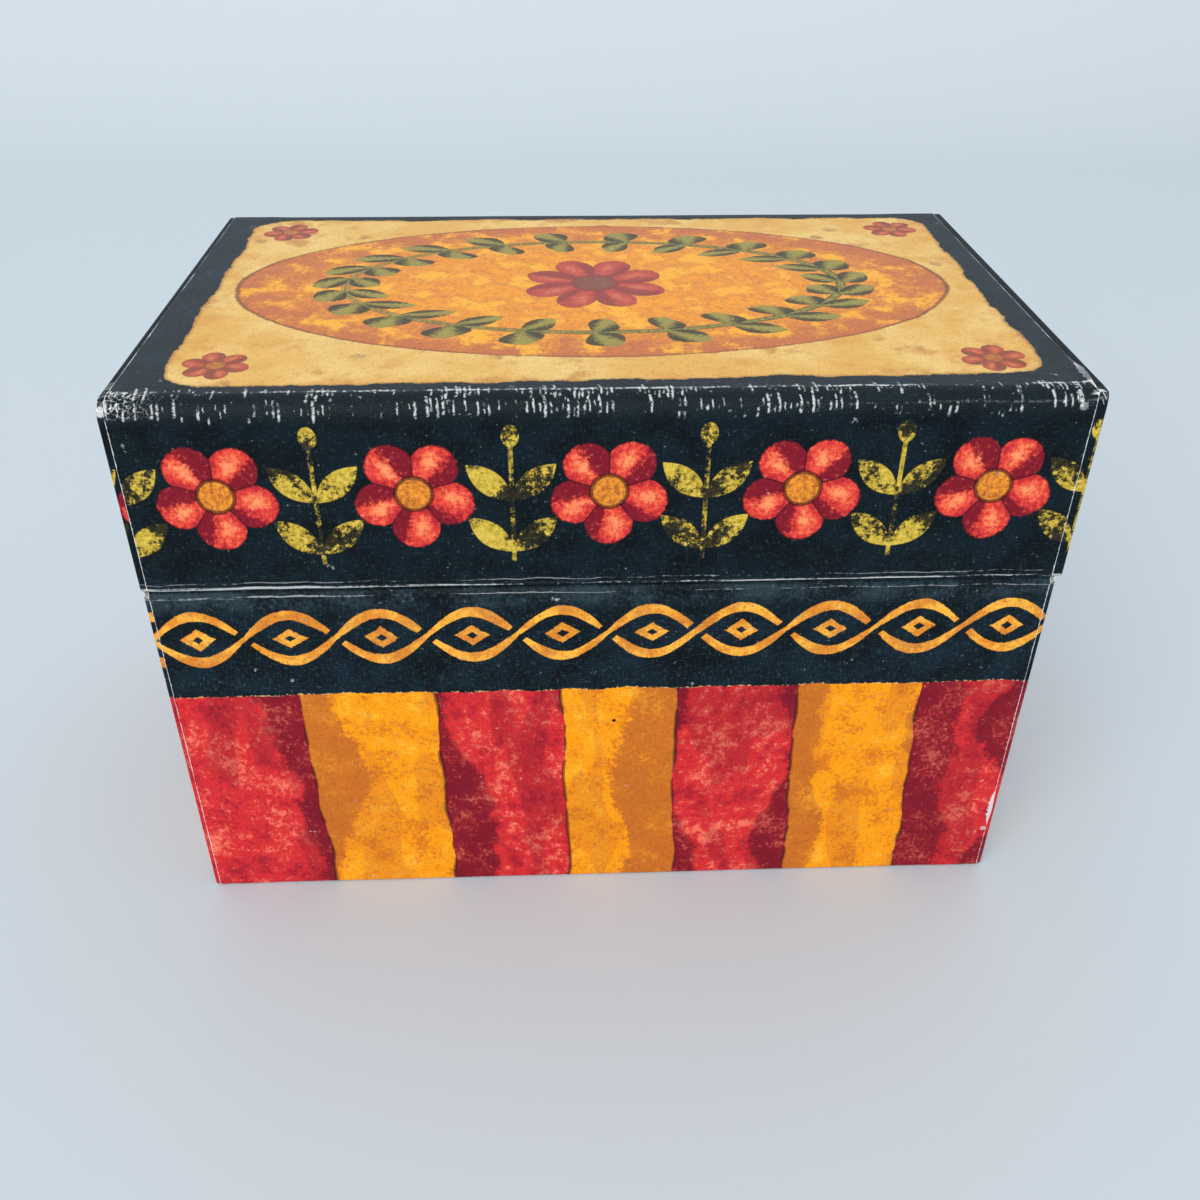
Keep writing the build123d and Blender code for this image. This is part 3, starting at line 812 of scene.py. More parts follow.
class Sheet(Finish):
    """A finish drawn in u and v, with the four noises that every colour shares.

    They are slow patches, blotches, sponge specks and grit. The threads of the linen emboss
    are noise drawn out along v for one set and along u for the other.
    """

    def __init__(self, name, folded=True):
        super().__init__(name)
        if folded:
            place, self.rub = self.print_place()
            self.u, self.v, self.near_edge = self.parts(place)
        else:
            self.u, self.v, _ = self.parts(self.object_place())
        self.at = self.vector(self.u, self.v)
        self.patch = self.noise(self.at, 9.0, 3.0)
        self.blotch = self.noise(self.at, 5.2, 4.0, 0.65)
        self.specks = self.noise(self.at, 2.3, 5.0, 0.85)
        self.grit = self.noise(self.at, 0.9, 3.0, 0.7)
        self.threads = self.drawn(0.34, 1.5, 1.0) * 0.5 + self.drawn(1.5, 0.34, 1.0) * 0.5

    def drawn(self, wide, tall, detail=2.0, rough=0.5):
        """Noise whose lumps are drawn out, about `wide` mm across and `tall` mm high."""
        return self.noise(self.vector(self.u / wide, self.v / tall), 1.0, detail, rough)

    def stray(self, **amounts):
        """Sum of the named noises about their middle, each times its amount."""
        first, *others = [(getattr(self, name) - 0.5) * amount for name, amount in amounts.items()]
        return sum(others, first)

    def band(self, low, high, soft=0.1):
        """1 between two print heights."""
        return self.v.rise(low, low + soft) * self.v.rise(high, high - soft)

    def spot(self, middle, half):
        """1 at a place (u, v), falling to 0 at `half` either side of it."""
        return self.u.bulge(middle[0], half[0]) * self.v.bulge(middle[1], half[1])

    def ground(self):
        """Blue-black ground with a cloudy wash and a few pale threads."""
        cloud = (self.patch * 0.6 + self.blotch * 0.4).rise(0.34, 0.66)
        pale = self.threads.rise(0.54, 0.7) * 0.24
        return self.coats(GROUND, (cloud, GROUND_LIGHT), (pale, ink(74, 96, 106)))

    def sponged(self, base, light, shade, amount):
        """A wash of `base` with sponged specks of `light` and granular patches of `shade`."""
        pale = self.stray(specks=3.4, patch=2.0, grit=1.2)
        dark = self.stray(patch=-1.4, specks=-1.5, blotch=1.4, grit=0.9)
        return self.coats(base, (dark.rise(0.02, 0.5) * 0.8, shade), (pale.rise(0.05, 0.82) * amount, light))


# %% Stripes
FLECK = (1.5, 44.5)  # a small black fleck of ink


def stripes(sheet):
    """Colour of the striped skirt. A stripe number is floor((u - start) / pitch): even is red.

    The edges wander with a slow noise, lean a little and swell twice where the painter's
    hand did. A shadow block fills each side of a stripe as far as a slow noise says, and a
    thinner veil of the same colour lies over part of the rest.
    """
    u, v, grit, specks = sheet.u, sheet.v, sheet.grit, sheet.specks
    wander = sheet.drawn(70, 17) - 0.5
    swell = 2.3 * u.bell(-20, 18) - 2.8 * u.bell(-85, 7)
    lean = 1.3 - v * (1.3 / STRIPE_TOP)
    place = (u - swell - lean - wander * 3.0 - STRIPE_START) / STRIPE_PITCH
    number = place.math("FLOOR")
    across = place - number
    is_red = (number * 0.5).math("FRACT").under(0.25, 0.01)

    luck = sheet.chance(number) * 50
    bias = sheet.chance(number + 7) * 0.5 - 0.25
    # Painted shade and tone: the shadow blocks widen stripe by stripe towards the right of the hinge side,
    # painted shade where less light falls; red stripes, and most of all the last stripe on the right, get
    # wider blocks still.
    painted_shade_and_tone = (number + 4).math("MAXIMUM", -3.0).math("MINIMUM", 4.0) * 0.04 - 0.16 + is_red * 0.08
    painted_shade_and_tone = painted_shade_and_tone + number.rise(-1.0, 0.0) * number.rise(1.5, 0.5) * 0.16
    nibble = sheet.stray(specks=0.24, grit=0.12, blotch=0.16) + painted_shade_and_tone
    left, right = (
        (sheet.noise(sheet.vector(luck + shift, v / tall), 1.0, 0.8) - middle) * reach + nibble + lopsided
        for shift, tall, middle, reach, lopsided in ((0, 46, 0.38, 1.0, bias), (9, 34, 0.36, 1.05, -bias)))
    block = sheet.most(across.under(left, 0.02), (1 - across).under(right, 0.02))
    veil = sheet.drawn(10, 30, 1.0) + sheet.stray(specks=0.14)

    red = sheet.sponged(RED, CORAL, ink(152, 25, 44), 0.86)
    gold = sheet.sponged(GOLD, GOLD_LIGHT, ink(204, 112, 26), 0.7)
    grains = (grit * 0.9 + sheet.stray(specks=0.6, blotch=0.8)).rise(0.48, 0.62)
    gold = sheet.coats(gold, (grains * 0.62, ink(204, 110, 26)))
    light_side, dark_side = sheet.coats(gold, (is_red, red)), sheet.coats(BROWN, (is_red, MAROON))
    light_side = sheet.coats(light_side, (veil.rise(0.53, 0.57) * 0.34, dark_side))
    mottle = (specks * 0.6 + grit * 0.6 + sheet.stray(patch=0.5)).rise(0.56, 0.8)
    dark_side = sheet.coats(dark_side, (mottle * 0.42, light_side))
    edge = (0.5 - abs(across - 0.5)) * STRIPE_PITCH
    dryness = sheet.drawn(40, 6, 3.0)
    line = edge.under(dryness * 0.62 - 0.02, 0.12) * dryness.rise(0.34, 0.5)
    from_fleck = (u - FLECK[0]) * (u - FLECK[0]) + (v - FLECK[1]) * (v - FLECK[1])
    return sheet.coats(light_side, (block * 0.92, dark_side), (line * 0.7, LINE),
                       (from_fleck.under(0.16, 0.08), ink(8, 8, 10)))


# %% Plait
PLAIT_HALF = 5.3  # height of a strand's wave
CROSSING = 1.8  # a strand is left out this close to the one that passes over it


def plait(sheet):
    """Gold plait of two strands v = middle +- 5.3 sin(phase), each over the other in turn.

    Distance to a strand is the height difference over sqrt(1 + slope^2). A stroke swells at
    its crests and thins where it crosses, as a brush does. The lower strand is left out where
    the upper one passes within a stroke and a gap. A lozenge fills each eye.
    """
    grit, patch = sheet.grit, sheet.patch
    phase = sheet.u * (TAU / ROSETTE_PITCH)
    sine, slope = phase.math("SINE"), phase.math("COSINE")
    steep = (1 + slope * slope * 0.94).math("SQRT")
    above = abs(sheet.v - PLAIT_V - sine * PLAIT_HALF) / steep
    below = abs(sheet.v - PLAIT_V + sine * PLAIT_HALF) / steep
    width = 0.5 + abs(sine) * 0.55 + sheet.stray(patch=0.9, grit=0.4)
    first, second = (
        near.under(width, 0.1) * (1 - other.under(CROSSING, 0.1) * falling.under(0.0, 0.02))
        for near, other, falling in ((above, below, slope), (below, above, -slope)))
    eye = (phase / math.pi - 0.5 + 40).math("FRACT")
    across = (0.5 - abs(eye - 0.5)) * (ROSETTE_PITCH / 2) + sheet.stray(blotch=0.9)
    diamond = across / 3.3 + abs(sheet.v - PLAIT_V + sheet.stray(patch=1.4)) / 2.3
    lozenge = (diamond + sheet.stray(grit=0.3)).under(1.0, 0.06) - diamond.under(0.35, 0.06)
    shape = sheet.most(first, second, lozenge) * (grit + patch * 0.5).rise(0.4, 0.54)
    return shape, sheet.coats(
        ink(218, 134, 42), ((sheet.blotch + sheet.stray(grit=0.5)).rise(0.38, 0.62), ink(252, 182, 66)),
        ((grit * 0.7 + patch * 0.4).rise(0.52, 0.66) * 0.6, ink(176, 100, 50)),
        (sheet.specks.rise(0.6, 0.75) * 0.5, ink(255, 214, 140)))


# %% Rosettes
GOLD_EYE, GREEN_EYE = (ink(238, 150, 50), ink(150, 76, 34)), (ink(86, 92, 78), ink(46, 54, 44))
EYE_SHARE, LIT_AT = 0.3, 0.62  # eye's share of the radius, and where along and across a petal is lit


def rosette(sheet, along, up, petals, radius, turn, eye_colours=GOLD_EYE):
    """Share covered and colour of a rosette of `petals` about (0, 0).

    The edge is radius (0.66 + 0.34 |cos(petals angle / 2)|^0.7), so the petals meet in
    notches. A petal is maroon on one side and sponged with coral in its middle.
    """
    grit, specks = sheet.grit, sheet.specks
    far = (along * along + up * up).math("SQRT")
    angle = up.math("ARCTAN2", along) + turn
    fold = abs((angle * (petals / 2)).math("COSINE"))
    reach = radius * (0.66 + 0.34 * fold.math("POWER", 0.7)) + sheet.stray(grit=0.06, patch=0.1) * radius
    petal = angle * (petals / TAU) + 50.5
    side = petal.math("FRACT")
    maroon_width = 0.24 + sheet.chance(petal.math("FLOOR") + petals) * 0.26
    maroon = (side + sheet.stray(specks=0.3, grit=0.3)).under(maroon_width, 0.07)
    light = (1 - abs(side - LIT_AT) * 3.4) * (1 - abs(far / radius - LIT_AT) * 2.6)
    light = light + sheet.stray(specks=1.5, grit=1.6)
    eye_edge = radius * EYE_SHARE
    gap = (fold * far).under(radius * 0.04, 0.1) * (1 - far.under(radius * 0.2, 0.1))
    rim = abs(far - reach).under(radius * 0.02, 0.08)
    ring = abs(far - eye_edge).under(radius * 0.035, 0.08)
    eye = (far + sheet.stray(grit=radius * 0.06)).under(eye_edge, 0.1)
    first, second = eye_colours
    eye_colour = sheet.coats(first, ((grit * 0.6 + specks * 0.4).rise(0.35, 0.7), second))
    return far.under(reach, 0.12), sheet.coats(
        ink(176, 38, 48), (light.rise(-0.25, 0.35), ink(222, 68, 54)),
        (light.rise(0.2, 1.0) * 0.85, ink(255, 156, 102)), (maroon * 0.92, MAROON),
        (grit.rise(0.56, 0.7) * 0.3, ink(218, 84, 72)), (sheet.most(gap, rim) * 0.7, LINE),
        (eye, eye_colour), (ring * 0.75, LINE))


# %% Sprigs
LEAF_STEP, LEAF_FOOT = 10.6, 84.4  # height of a pair of leaves, and where the first one starts
LEAF_HALF, LEAF_LONG = 2.3, 5.3
LEAF_LEAN = math.radians(48)


def turned(along, across, lean):
    """Two distances measured on axes turned by `lean`."""
    sine, cosine = math.sin(lean), math.cos(lean)
    return along * sine + across * cosine, along * cosine - across * sine


def leaf_shape(length, half, long):
    """Half width of a leaf: half (1 - (length / long)^2)."""
    return half * (1 - (length / long) * (length / long))


def sprigs(sheet):
    """Yellow-green sprigs half way between the rosettes, two pairs of dry-brushed leaves.

    A leaf is where |across| is less than its half width, along and across being measured
    from its middle at 48 degrees from the stem.
    """
    v = sheet.v
    out = abs(((sheet.u / ROSETTE_PITCH + 40).math("FRACT") - 0.5) * ROSETTE_PITCH)
    step = ((v - LEAF_FOOT) / LEAF_STEP).math("FRACT") * LEAF_STEP
    along, across = turned(out, step, LEAF_LEAN)
    along, across = along - 5.6, across + 0.35
    leaf = abs(across).under(leaf_shape(along, LEAF_HALF, LEAF_LONG)) * sheet.band(84.3, 105.7, 0.2)
    stem = out.under(0.4, 0.1) * sheet.band(82.6, 107.2, 0.6)
    bud = (((out * out) / 2.4) + ((v - 108.0) * (v - 108.0)) / 4.4).under(1.0, 0.1)
    brush = sheet.specks + sheet.stray(patch=1.3, grit=0.5) - abs(along) * 0.014
    tone = sheet.grit * 0.8 + sheet.specks * 0.5 + sheet.stray(patch=0.5) - abs(across) * 0.03
    colour = sheet.coats(
        LEAF_DARK, (tone.rise(0.42, 0.62), LEAF), (tone.rise(0.62, 0.8) * 0.7, ink(222, 194, 84)))
    return sheet.most(leaf, stem, bud) * (0.06 + 0.94 * brush.rise(0.4, 0.56)), colour


# %% [markdown]
# ## Wear
#
# Where the print is rubbed through, the white core of the paper shows: along every cut
# edge, on the folds, in clusters of short scuffs that run round the rounded edge, and on the
# ridges of the crease. The two ends of the rounded edge are worst: one has crackled and the
# other was knocked, and there the sheet's cut edge has come up. The broad white line where
# the top starts is partly rub and partly a painted sheen.

# %% Scuffs
def scuffs(sheet, cluster, pitch, middle):
    """Short strokes round the rounded edge: one chance stroke in each column `pitch` wide."""
    from_middle = sheet.v - middle
    place = (sheet.u + sheet.stray(grit=0.7, specks=0.5) + from_middle * from_middle * 0.05) / pitch + 90
    column = place.math("FLOOR")
    here, long, high = (sheet.chance(column + shift) for shift in (0.1, 0.4, 0.7))
    across = abs(place - column - 0.3 - here * 0.4) * pitch
    past = abs(from_middle - (high - 0.5) * 2.0) - 0.3 - long * 1.6
    stroke = across.under(0.06 + long * 0.14 + sheet.stray(grit=0.2), 0.1) * past.rise(0.3, -0.15)
    kept = (cluster + high * 0.35 - sheet.u.rise(10, 60) * 0.025).rise(0.63, 0.71)
    return stroke * kept * sheet.grit.rise(0.34, 0.56)


# %% Damage at the corners
EDGE_BAND = (111.4, 118.4)  # print heights of the rounded edge
LEFT_TIP, RIGHT_CHIP, STREAK = (-78.4, 113.0), (81.7, 112.3), (80.7, 115.0)
RIGHT_TIP_V, LOW_NICK = 114.2, (83.0, 11.6)


def corner_damage(sheet):
    """Bare places on the ends of the rounded edge, in the print's own u and v."""
    u, v, grit = sheet.u, sheet.v, sheet.grit
    low, high = EDGE_BAND
    bent = sheet.vector(u + sheet.stray(specks=1.6), v + sheet.stray(grit=1.0))
    cracks = sheet.cells(bent, 1 / 1.05, "DISTANCE_TO_EDGE").under(0.06 + sheet.stray(grit=0.2), 0.06)
    cracks = cracks * v.rise(low, 113.0) * v.rise(high, 116.6)
    cracks = cracks * (-u + sheet.stray(specks=14)).rise(75.0, 83.5) * grit.rise(0.34, 0.56)
    left_tip = (sheet.spot(LEFT_TIP, (1.3, 1.0)) + sheet.stray(grit=1.3)).rise(0.25, 0.7)
    left_tip = left_tip * sheet.near_edge.rise(8.0, 8.5)
    streak = (u + (v - STREAK[1]) * 0.12 + sheet.stray(specks=0.9)).bulge(STREAK[0], 0.42)
    streak = streak * v.rise(low + 0.4, 112.6) * v.rise(high + 0.2, 116.8) * grit.rise(0.36, 0.5)
    chip = (sheet.spot(RIGHT_CHIP, (1.5, 1.1)) + sheet.stray(grit=2.2, specks=1.4)).rise(0.45, 0.9)
    right_tip = abs(v - RIGHT_TIP_V + sheet.stray(grit=0.5)).under(0.16, 0.12) * u.rise(82.2, 83.4)
    nick = (sheet.spot(LOW_NICK, (0.9, 0.8)) + sheet.stray(grit=1.2)).rise(0.3, 0.7)
    return cracks * 0.8 + left_tip * 0.75 + streak.rise(0.1, 0.6) * 0.6 + chip * 0.3 + right_tip + nick * 0.5


# %% Wear of the printed paper
def edge_rub_and_sheen(sheet, cluster):
    """Rubbed lines along the rounded edge: a broad broken bright one where the top starts, which is partly a
    painted sheen, and a faint lower one.
    """
    u, grit, specks = sheet.u, sheet.grit, sheet.specks
    line = abs(sheet.v - TOP_START - 0.5 + sheet.stray(patch=0.9, grit=0.8)).under(0.24, 0.14)
    shown = (cluster - 0.5) * 1.6 + specks * 0.8 + grit * 0.9 + u.bulge(-5.0, 75.0) * 0.2
    line = line * shown.rise(0.74, 1.02)
    thread = sheet.chance(((u + sheet.stray(grit=0.4)) / 0.55).math("FLOOR")) + (cluster - 0.5) * 1.2
    lower = abs(sheet.v - EDGE_START - 1.7 + sheet.stray(patch=0.7)).under(0.1, 0.2)
    lower = lower * (u * 0.003 + grit * 0.9 + specks * 0.6).rise(0.85, 1.15)
    return line * (thread.rise(0.3, 0.6) * 0.85 + 0.15) * 0.85 + lower * 0.22


def crease_lines(sheet):
    """Rubbed ridges of the crease, which sag, come and go, and are fuller on the left."""
    up = sheet.v - CREASE
    run = sheet.drawn(24, 0.5, 3.0) + sheet.u.rise(-45, -85) * 0.14
    sag = sheet.stray(patch=1.1, blotch=0.5)
    full = sheet.u.rise(-10, -75) * 0.1
    ridges = abs(up - 0.95 + sag * 0.5).under(full + 0.15, 0.1)
    ridges = ridges + abs(up + 1.05 + sag).under(full + 0.08, 0.1) * 0.7
    ridges = ridges + abs(up - 2.0 + sheet.stray(patch=1.3)).under(0.07, 0.1) * 0.6
    return ridges * (run + sheet.stray(grit=0.4)).rise(0.45, 0.6)


def wear(sheet):
    """Share of bare white core, 0 to 1; along the top of the rounded edge it also holds a painted sheen."""
    u, v, patch, grit = sheet.u, sheet.v, sheet.patch, sheet.grit
    raised = v.bulge(TEAR_V, 5.2) * 0.8 + v.bulge(SLIVER_V, 5.0) * 0.75
    raised = raised * u.rise(60, 62) * u.rise(90, 88)
    thin = 1 - v.rise(TOP_START - 1, TOP_START + 2) * 0.75 * patch.rise(0.7, 0.3)
    edge = sheet.near_edge.under(patch * 0.22 + sheet.stray(grit=0.4) + raised * (0.5 + grit), 0.07) * thin
    fold = (sheet.rub * 0.8 + sheet.stray(patch=1.3, grit=1.2)).rise(1.04, 1.26)
    knocks = sheet.cells(sheet.vector(u / 31, v / 23), 1.0).under(sheet.stray(grit=0.16), 0.01)
    cluster = sheet.drawn(12, 8, 3.0, 0.7)
    scuff = sheet.most(scuffs(sheet, cluster, 0.95, 112.9), scuffs(sheet, cluster, 0.8, 116.4))
    lines = edge_rub_and_sheen(sheet, cluster) + crease_lines(sheet) * 0.62
    on_hinge_side = corner_damage(sheet) + scuff * 0.74 + lines
    on_hinge_side = on_hinge_side * abs(u).under(LID_END + 0.6, 0.3)
    return (edge * 0.8 + fold * 0.9 + knocks * 0.4 + on_hinge_side).math("MINIMUM", 1.0)


def worn_surface(sheet, colour, bare, depth_mm, specular):
    """Ends a printed finish: threads and grit in the bump, and bare core rougher than the print."""
    roughness = 0.46 + bare * 0.35 + sheet.stray(grit=0.1)
    return sheet.surface(colour, roughness, sheet.threads + sheet.grit * 0.15, depth_mm, specular)


# %% Finish of the printed walls
LID_PRINT = (80, 111)  # print heights between which the lid has its rosettes and sprigs
DOT_PITCH = 0.56


def printed_wall():
    """Stripes below, a dark band with the plait above them, rosettes and sprigs on the lid."""
    sheet = Sheet("printed paper")
    u, v, patch, grit = sheet.u, sheet.v, sheet.patch, sheet.grit
    # Darker ground on the lid above the crease, and painted shade over the rounded edge and what lies above
    # it.
    painted_shade_and_tone = v.rise(CREASE, CREASE + 5) * 0.4 + v.rise(108.0, 113.0) * 0.3
    on_base = v.rise(STRIPE_TOP, STRIPE_TOP + 0.2) * v.rise(CREASE, CREASE - 0.1)
    on_lid = sheet.band(*LID_PRINT)
    strands, gold = plait(sheet)
    leaves, green = sprigs(sheet)
    place = ((u / ROSETTE_PITCH + 40.5).math("FRACT") - 0.5) * ROSETTE_PITCH
    flower, petals = rosette(sheet, place, v - ROSETTE_V, 5, 10.8, math.pi / 2)
    above_stripes = v - (STRIPE_TOP - 1.1 + patch * 1.6 + sheet.stray(grit=0.5))
    dry_edge = abs(above_stripes).under(0.16, 0.1) * grit.rise(0.5, 0.62)
    # Painted highlight: embossed dots of the cloth pattern, drawn lighter only on the rounded edge where the
    # light catches them: a product of two waves
    edge_dot_highlight = ((u * (TAU / DOT_PITCH)).math("SINE") * (v * (TAU / DOT_PITCH)).math("SINE")).rise(0.15, 0.8)
    # Partly painted highlight and partly rub: a patchy lighter band just below the crease, on the roll that
    # catches the light.
    crease_highlight_and_rub = v.rise(CREASE - 5.5, CREASE - 2.0) * v.rise(CREASE + 0.4, CREASE - 0.6)
    crease_highlight_and_rub = crease_highlight_and_rub * (patch + grit - 0.5).rise(0.3, 0.7)
    pale = sheet.most(edge_dot_highlight * v.rise(109.5, 112.5) * 0.26, crease_highlight_and_rub * 0.22)
    bare = wear(sheet)
    # Along the top of the rounded edge, bare also holds a painted sheen, laid on as white core.
    colour = sheet.coats(
        sheet.ground(), (painted_shade_and_tone, ink(1, 8, 13)), (strands * on_base, gold), (leaves * on_lid, green),
        (flower * on_lid, petals), (above_stripes.under(0.0, 0.1), stripes(sheet)),
        (dry_edge * 0.6, ink(236, 196, 140)), (pale, ink(84, 104, 112)),
        (sheet.threads.rise(0.5, 0.34) * 0.2, ink(8, 12, 16)), (bare, CORE))
    return worn_surface(sheet, colour, bare, 0.1, 0.09)


printed = printed_wall()

# %% [markdown]
# ## The panel on the lid
#
# The top of the lid has a parchment panel with a ragged dark border round it, and on it an
# oval medallion with a rosette and a laurel ring, and a small rosette in each corner.

# %% Panel shapes
PANEL_MID, PANEL_HALF, PANEL_RADIUS = (0.5, 1.2), (78.0, 47.6), 7.0
OVAL_MID, OVAL_HALF = (-0.5, 4.0), (73.0, 39.0)
RING = 0.7  # laurel ring, as a share of the oval
RING_LEAVES = 23
RING_LEAF_HALF, RING_LEAF_LONG = 2.5, 5.6


def inside_panel(x, y, half, radius, wobble, skew=0.0):
    """Distance inside the edge of a rounded rectangle (the signed distance of its inset box)."""
    out_x = (abs(x) - (half[0] - radius)).math("MAXIMUM", 0.0)
    out_y = (abs(y) + skew - (half[1] - radius)).math("MAXIMUM", 0.0)
    return radius - (out_x * out_x + out_y * out_y).math("SQRT") + wobble


def parchment(sheet, inside):
    """Ochre paper: pale washes, tea-brown stains near the edge and in blots, and specks."""
    slow = sheet.noise(sheet.at, 26.0, 4.0, 0.6)
    stain = sheet.patch * 0.5 + sheet.blotch * 0.5 + inside.rise(6.0, 0.0) * 0.08
    blot = (sheet.cells(sheet.at, 17.0) + sheet.stray(specks=0.24)).under(0.085, 0.03)
    return sheet.coats(
        ink(222, 172, 86), (slow.rise(0.38, 0.64), ink(232, 194, 116)),
        (stain.rise(0.5, 0.68) * 0.5, ink(206, 142, 58)),
        ((stain * 0.6 + slow * 0.6).rise(0.66, 0.8) * 0.5, ink(176, 104, 42)),
        (blot * slow.rise(0.44, 0.56) * 0.55, ink(146, 76, 40)),
        (sheet.grit.rise(0.6, 0.75) * 0.22, ink(190, 130, 66)))


def laurel(sheet, x, y):
    """Ring of leaves on an oval. Returns the leaves, their light side, the vine and its edges, and e.

    The distance to the oval is (e - ring) / |gradient of e|, with e = sqrt((x/a)^2 + (y/b)^2).
    Round the oval a leaf fills its share of the turn, and lies aslant of the vine.
    """
    a, b = OVAL_HALF
    east, north = x / a, y / b
    e = (east * east + north * north).math("SQRT")
    steep = ((east / a) * (east / a) + (north / b) * (north / b)).math("SQRT") / e
    off = (e - RING) / steep
    angle = north.math("ARCTAN2", east)
    sine, cosine = angle.math("SINE"), angle.math("COSINE")
    pitch = ((a * a) * sine * sine + (b * b) * cosine * cosine).math("SQRT") * (RING * TAU / RING_LEAVES)
    turn = angle * (RING_LEAVES / TAU) + 100 + abs(off) * 0.055
    along = (turn.math("FRACT") - 0.5) * pitch
    length, width = turned(abs(off) - 3.5, along, math.radians(36))
    body = leaf_shape(length, RING_LEAF_HALF, RING_LEAF_LONG)
    leaf = abs(width).under(body + sheet.stray(grit=0.5))
    lit = (abs(width) / RING_LEAF_HALF - length * 0.05 + sheet.stray(grit=0.9)).rise(0.62, 0.12)
    return leaf, lit, abs(off).under(0.75 + cosine * 0.3), abs(abs(off) - 0.8).under(0.16, 0.1), e


# %% Finish of the lid's panel
def medallion(sheet, x, y, around):
    """Oval of orange and rust washes with a thin rim line, the laurel and the middle rosette."""
    patch, grit = sheet.patch, sheet.grit
    leaf, lit, vine, vine_edge, e = laurel(sheet, x, y)
    scallop = sheet.stray(patch=0.018)
    outer = (e + sheet.stray(blotch=0.9, patch=0.8, grit=0.5)).rise(0.64, 1.08)
    fill = sheet.coats(
        ink(210, 122, 54), ((patch * 0.5 + sheet.blotch * 0.5).rise(0.4, 0.6), ink(240, 156, 40)),
        ((1.0 - patch * 0.6 - sheet.blotch * 0.4).rise(0.48, 0.6) * 0.85, ink(255, 182, 48)),
        (outer * 0.85, ink(184, 100, 66)),
        ((sheet.specks + sheet.stray(grit=0.6)).rise(0.54, 0.68) * 0.42, ink(166, 88, 58)))
    green = sheet.coats(
        ink(50, 54, 38), (lit, ink(150, 142, 70)), (grit.rise(0.52, 0.7) * 0.35, ink(104, 100, 54)))
    stem = sheet.coats(ink(150, 144, 74), (grit.rise(0.4, 0.6), ink(104, 102, 52)))
    flower, petals = rosette(sheet, x, y, 8, 15.0, math.pi / 8, GREEN_EYE)
    return sheet.coats(
        around, (e.under(1.0 + scallop, 0.006), fill),
        (abs(e - 1.0 - scallop).under(grit * 0.012, 0.004) * 0.75, ink(110, 44, 38)),
        (vine * 0.95, stem), (vine_edge * 0.6, ink(60, 56, 36)), (leaf * 0.95, green),
        (flower * 0.94, sheet.coats(petals, (0.55, ink(152, 66, 70)))))


def printed_panel():
    """Dark border, parchment, medallion with rosette and laurel, corner rosettes, rubbed edges."""
    sheet = Sheet("printed panel")
    x, y = sheet.u, sheet.v - TOP_SHIFT
    from_mid = x - PANEL_MID[0], y - PANEL_MID[1]
    skew = (x * 0.014 + 1.0) * y.under(0.0, 40.0)  # the near edge runs a little aslant
    inside = inside_panel(*from_mid, PANEL_HALF, PANEL_RADIUS, sheet.stray(patch=3.0, specks=1.6), skew)
    colour = medallion(sheet, x - OVAL_MID[0], y - OVAL_MID[1], parchment(sheet, inside))
    in_corner, petals = rosette(sheet, abs(from_mid[0]) - 69.5, abs(from_mid[1]) - 38.5, 6, 6.2, 0.26)
    bare = wear(sheet)
    colour = sheet.coats(
        colour, (in_corner * 0.9, sheet.coats(petals, (0.5, ink(132, 56, 48)))),
        (abs(inside - 0.3).under(0.3, 0.25) * 0.45, ink(150, 90, 44)))
    # Along the top of the rounded edge, bare also holds a painted sheen, laid on as white core.
    colour = sheet.coats(
        sheet.ground(), (inside.rise(-0.1, 0.25), colour), (bare, CORE),
        (sheet.threads.rise(0.52, 0.36) * 0.16, ink(60, 44, 34)))
    return worn_surface(sheet, colour, bare, 0.12, 0.2)


panel = printed_panel()

# %% Finish of the underside
UNDER_HALF, UNDER_RADIUS = (78.5, 46.0), 8.0
TILE_MID, TILE_HALF = (52.0, -30.0), (12.5, 9.5)  # dark tile with the rosette, near a corner


def printed_bottom():
    """Parchment with a brown edge line and one small rosette on a dark tile, on the object's x and y."""
    sheet = Sheet("printed underside", folded=False)
    x, y = sheet.u, sheet.v
    from_mid = x - BASE_MID, y - (BACK + BASE_FRONT) / 2
    inside = inside_panel(*from_mid, UNDER_HALF, UNDER_RADIUS, sheet.stray(patch=3.0))
    dark = sheet.ground()
    tile_x, tile_y = x - TILE_MID[0], y - TILE_MID[1]
    tile = sheet.most(abs(tile_x) / TILE_HALF[0], abs(tile_y) / TILE_HALF[1]) + sheet.stray(grit=0.08)
    flower, petals = rosette(sheet, tile_x, tile_y, 5, 7.6, math.pi / 2)
    colour = sheet.coats(
        parchment(sheet, inside), (tile.under(1.0, 0.02) * 0.94, sheet.coats(dark, (0.35, ink(36, 62, 44)))),
        (flower, petals), (abs(inside - 0.4).under(0.5, 0.25) * 0.75, ink(128, 74, 42)))
    scrape = sheet.drawn(1.2, 30).rise(0.66, 0.74)
    bare = scrape * sheet.noise(sheet.at, 26.0, 1.0).rise(0.48, 0.6) * 0.5
    colour = sheet.coats(dark, (inside.rise(-0.1, 0.25), colour), (bare, CORE))
    return sheet.surface(colour, 0.46 + bare * 0.3, sheet.threads, 0.08)


bottom_print = printed_bottom()

# %% [markdown]
# ## Plain papers and boards
#
# Inside, the box is lined with cream paper, a little brown at its folds. Greyboard shows
# nowhere but in the seams, and the tape over its corners is brown kraft paper.

# %% Plain finishes
FIBRE = 5  # length of a fibre, in its widths


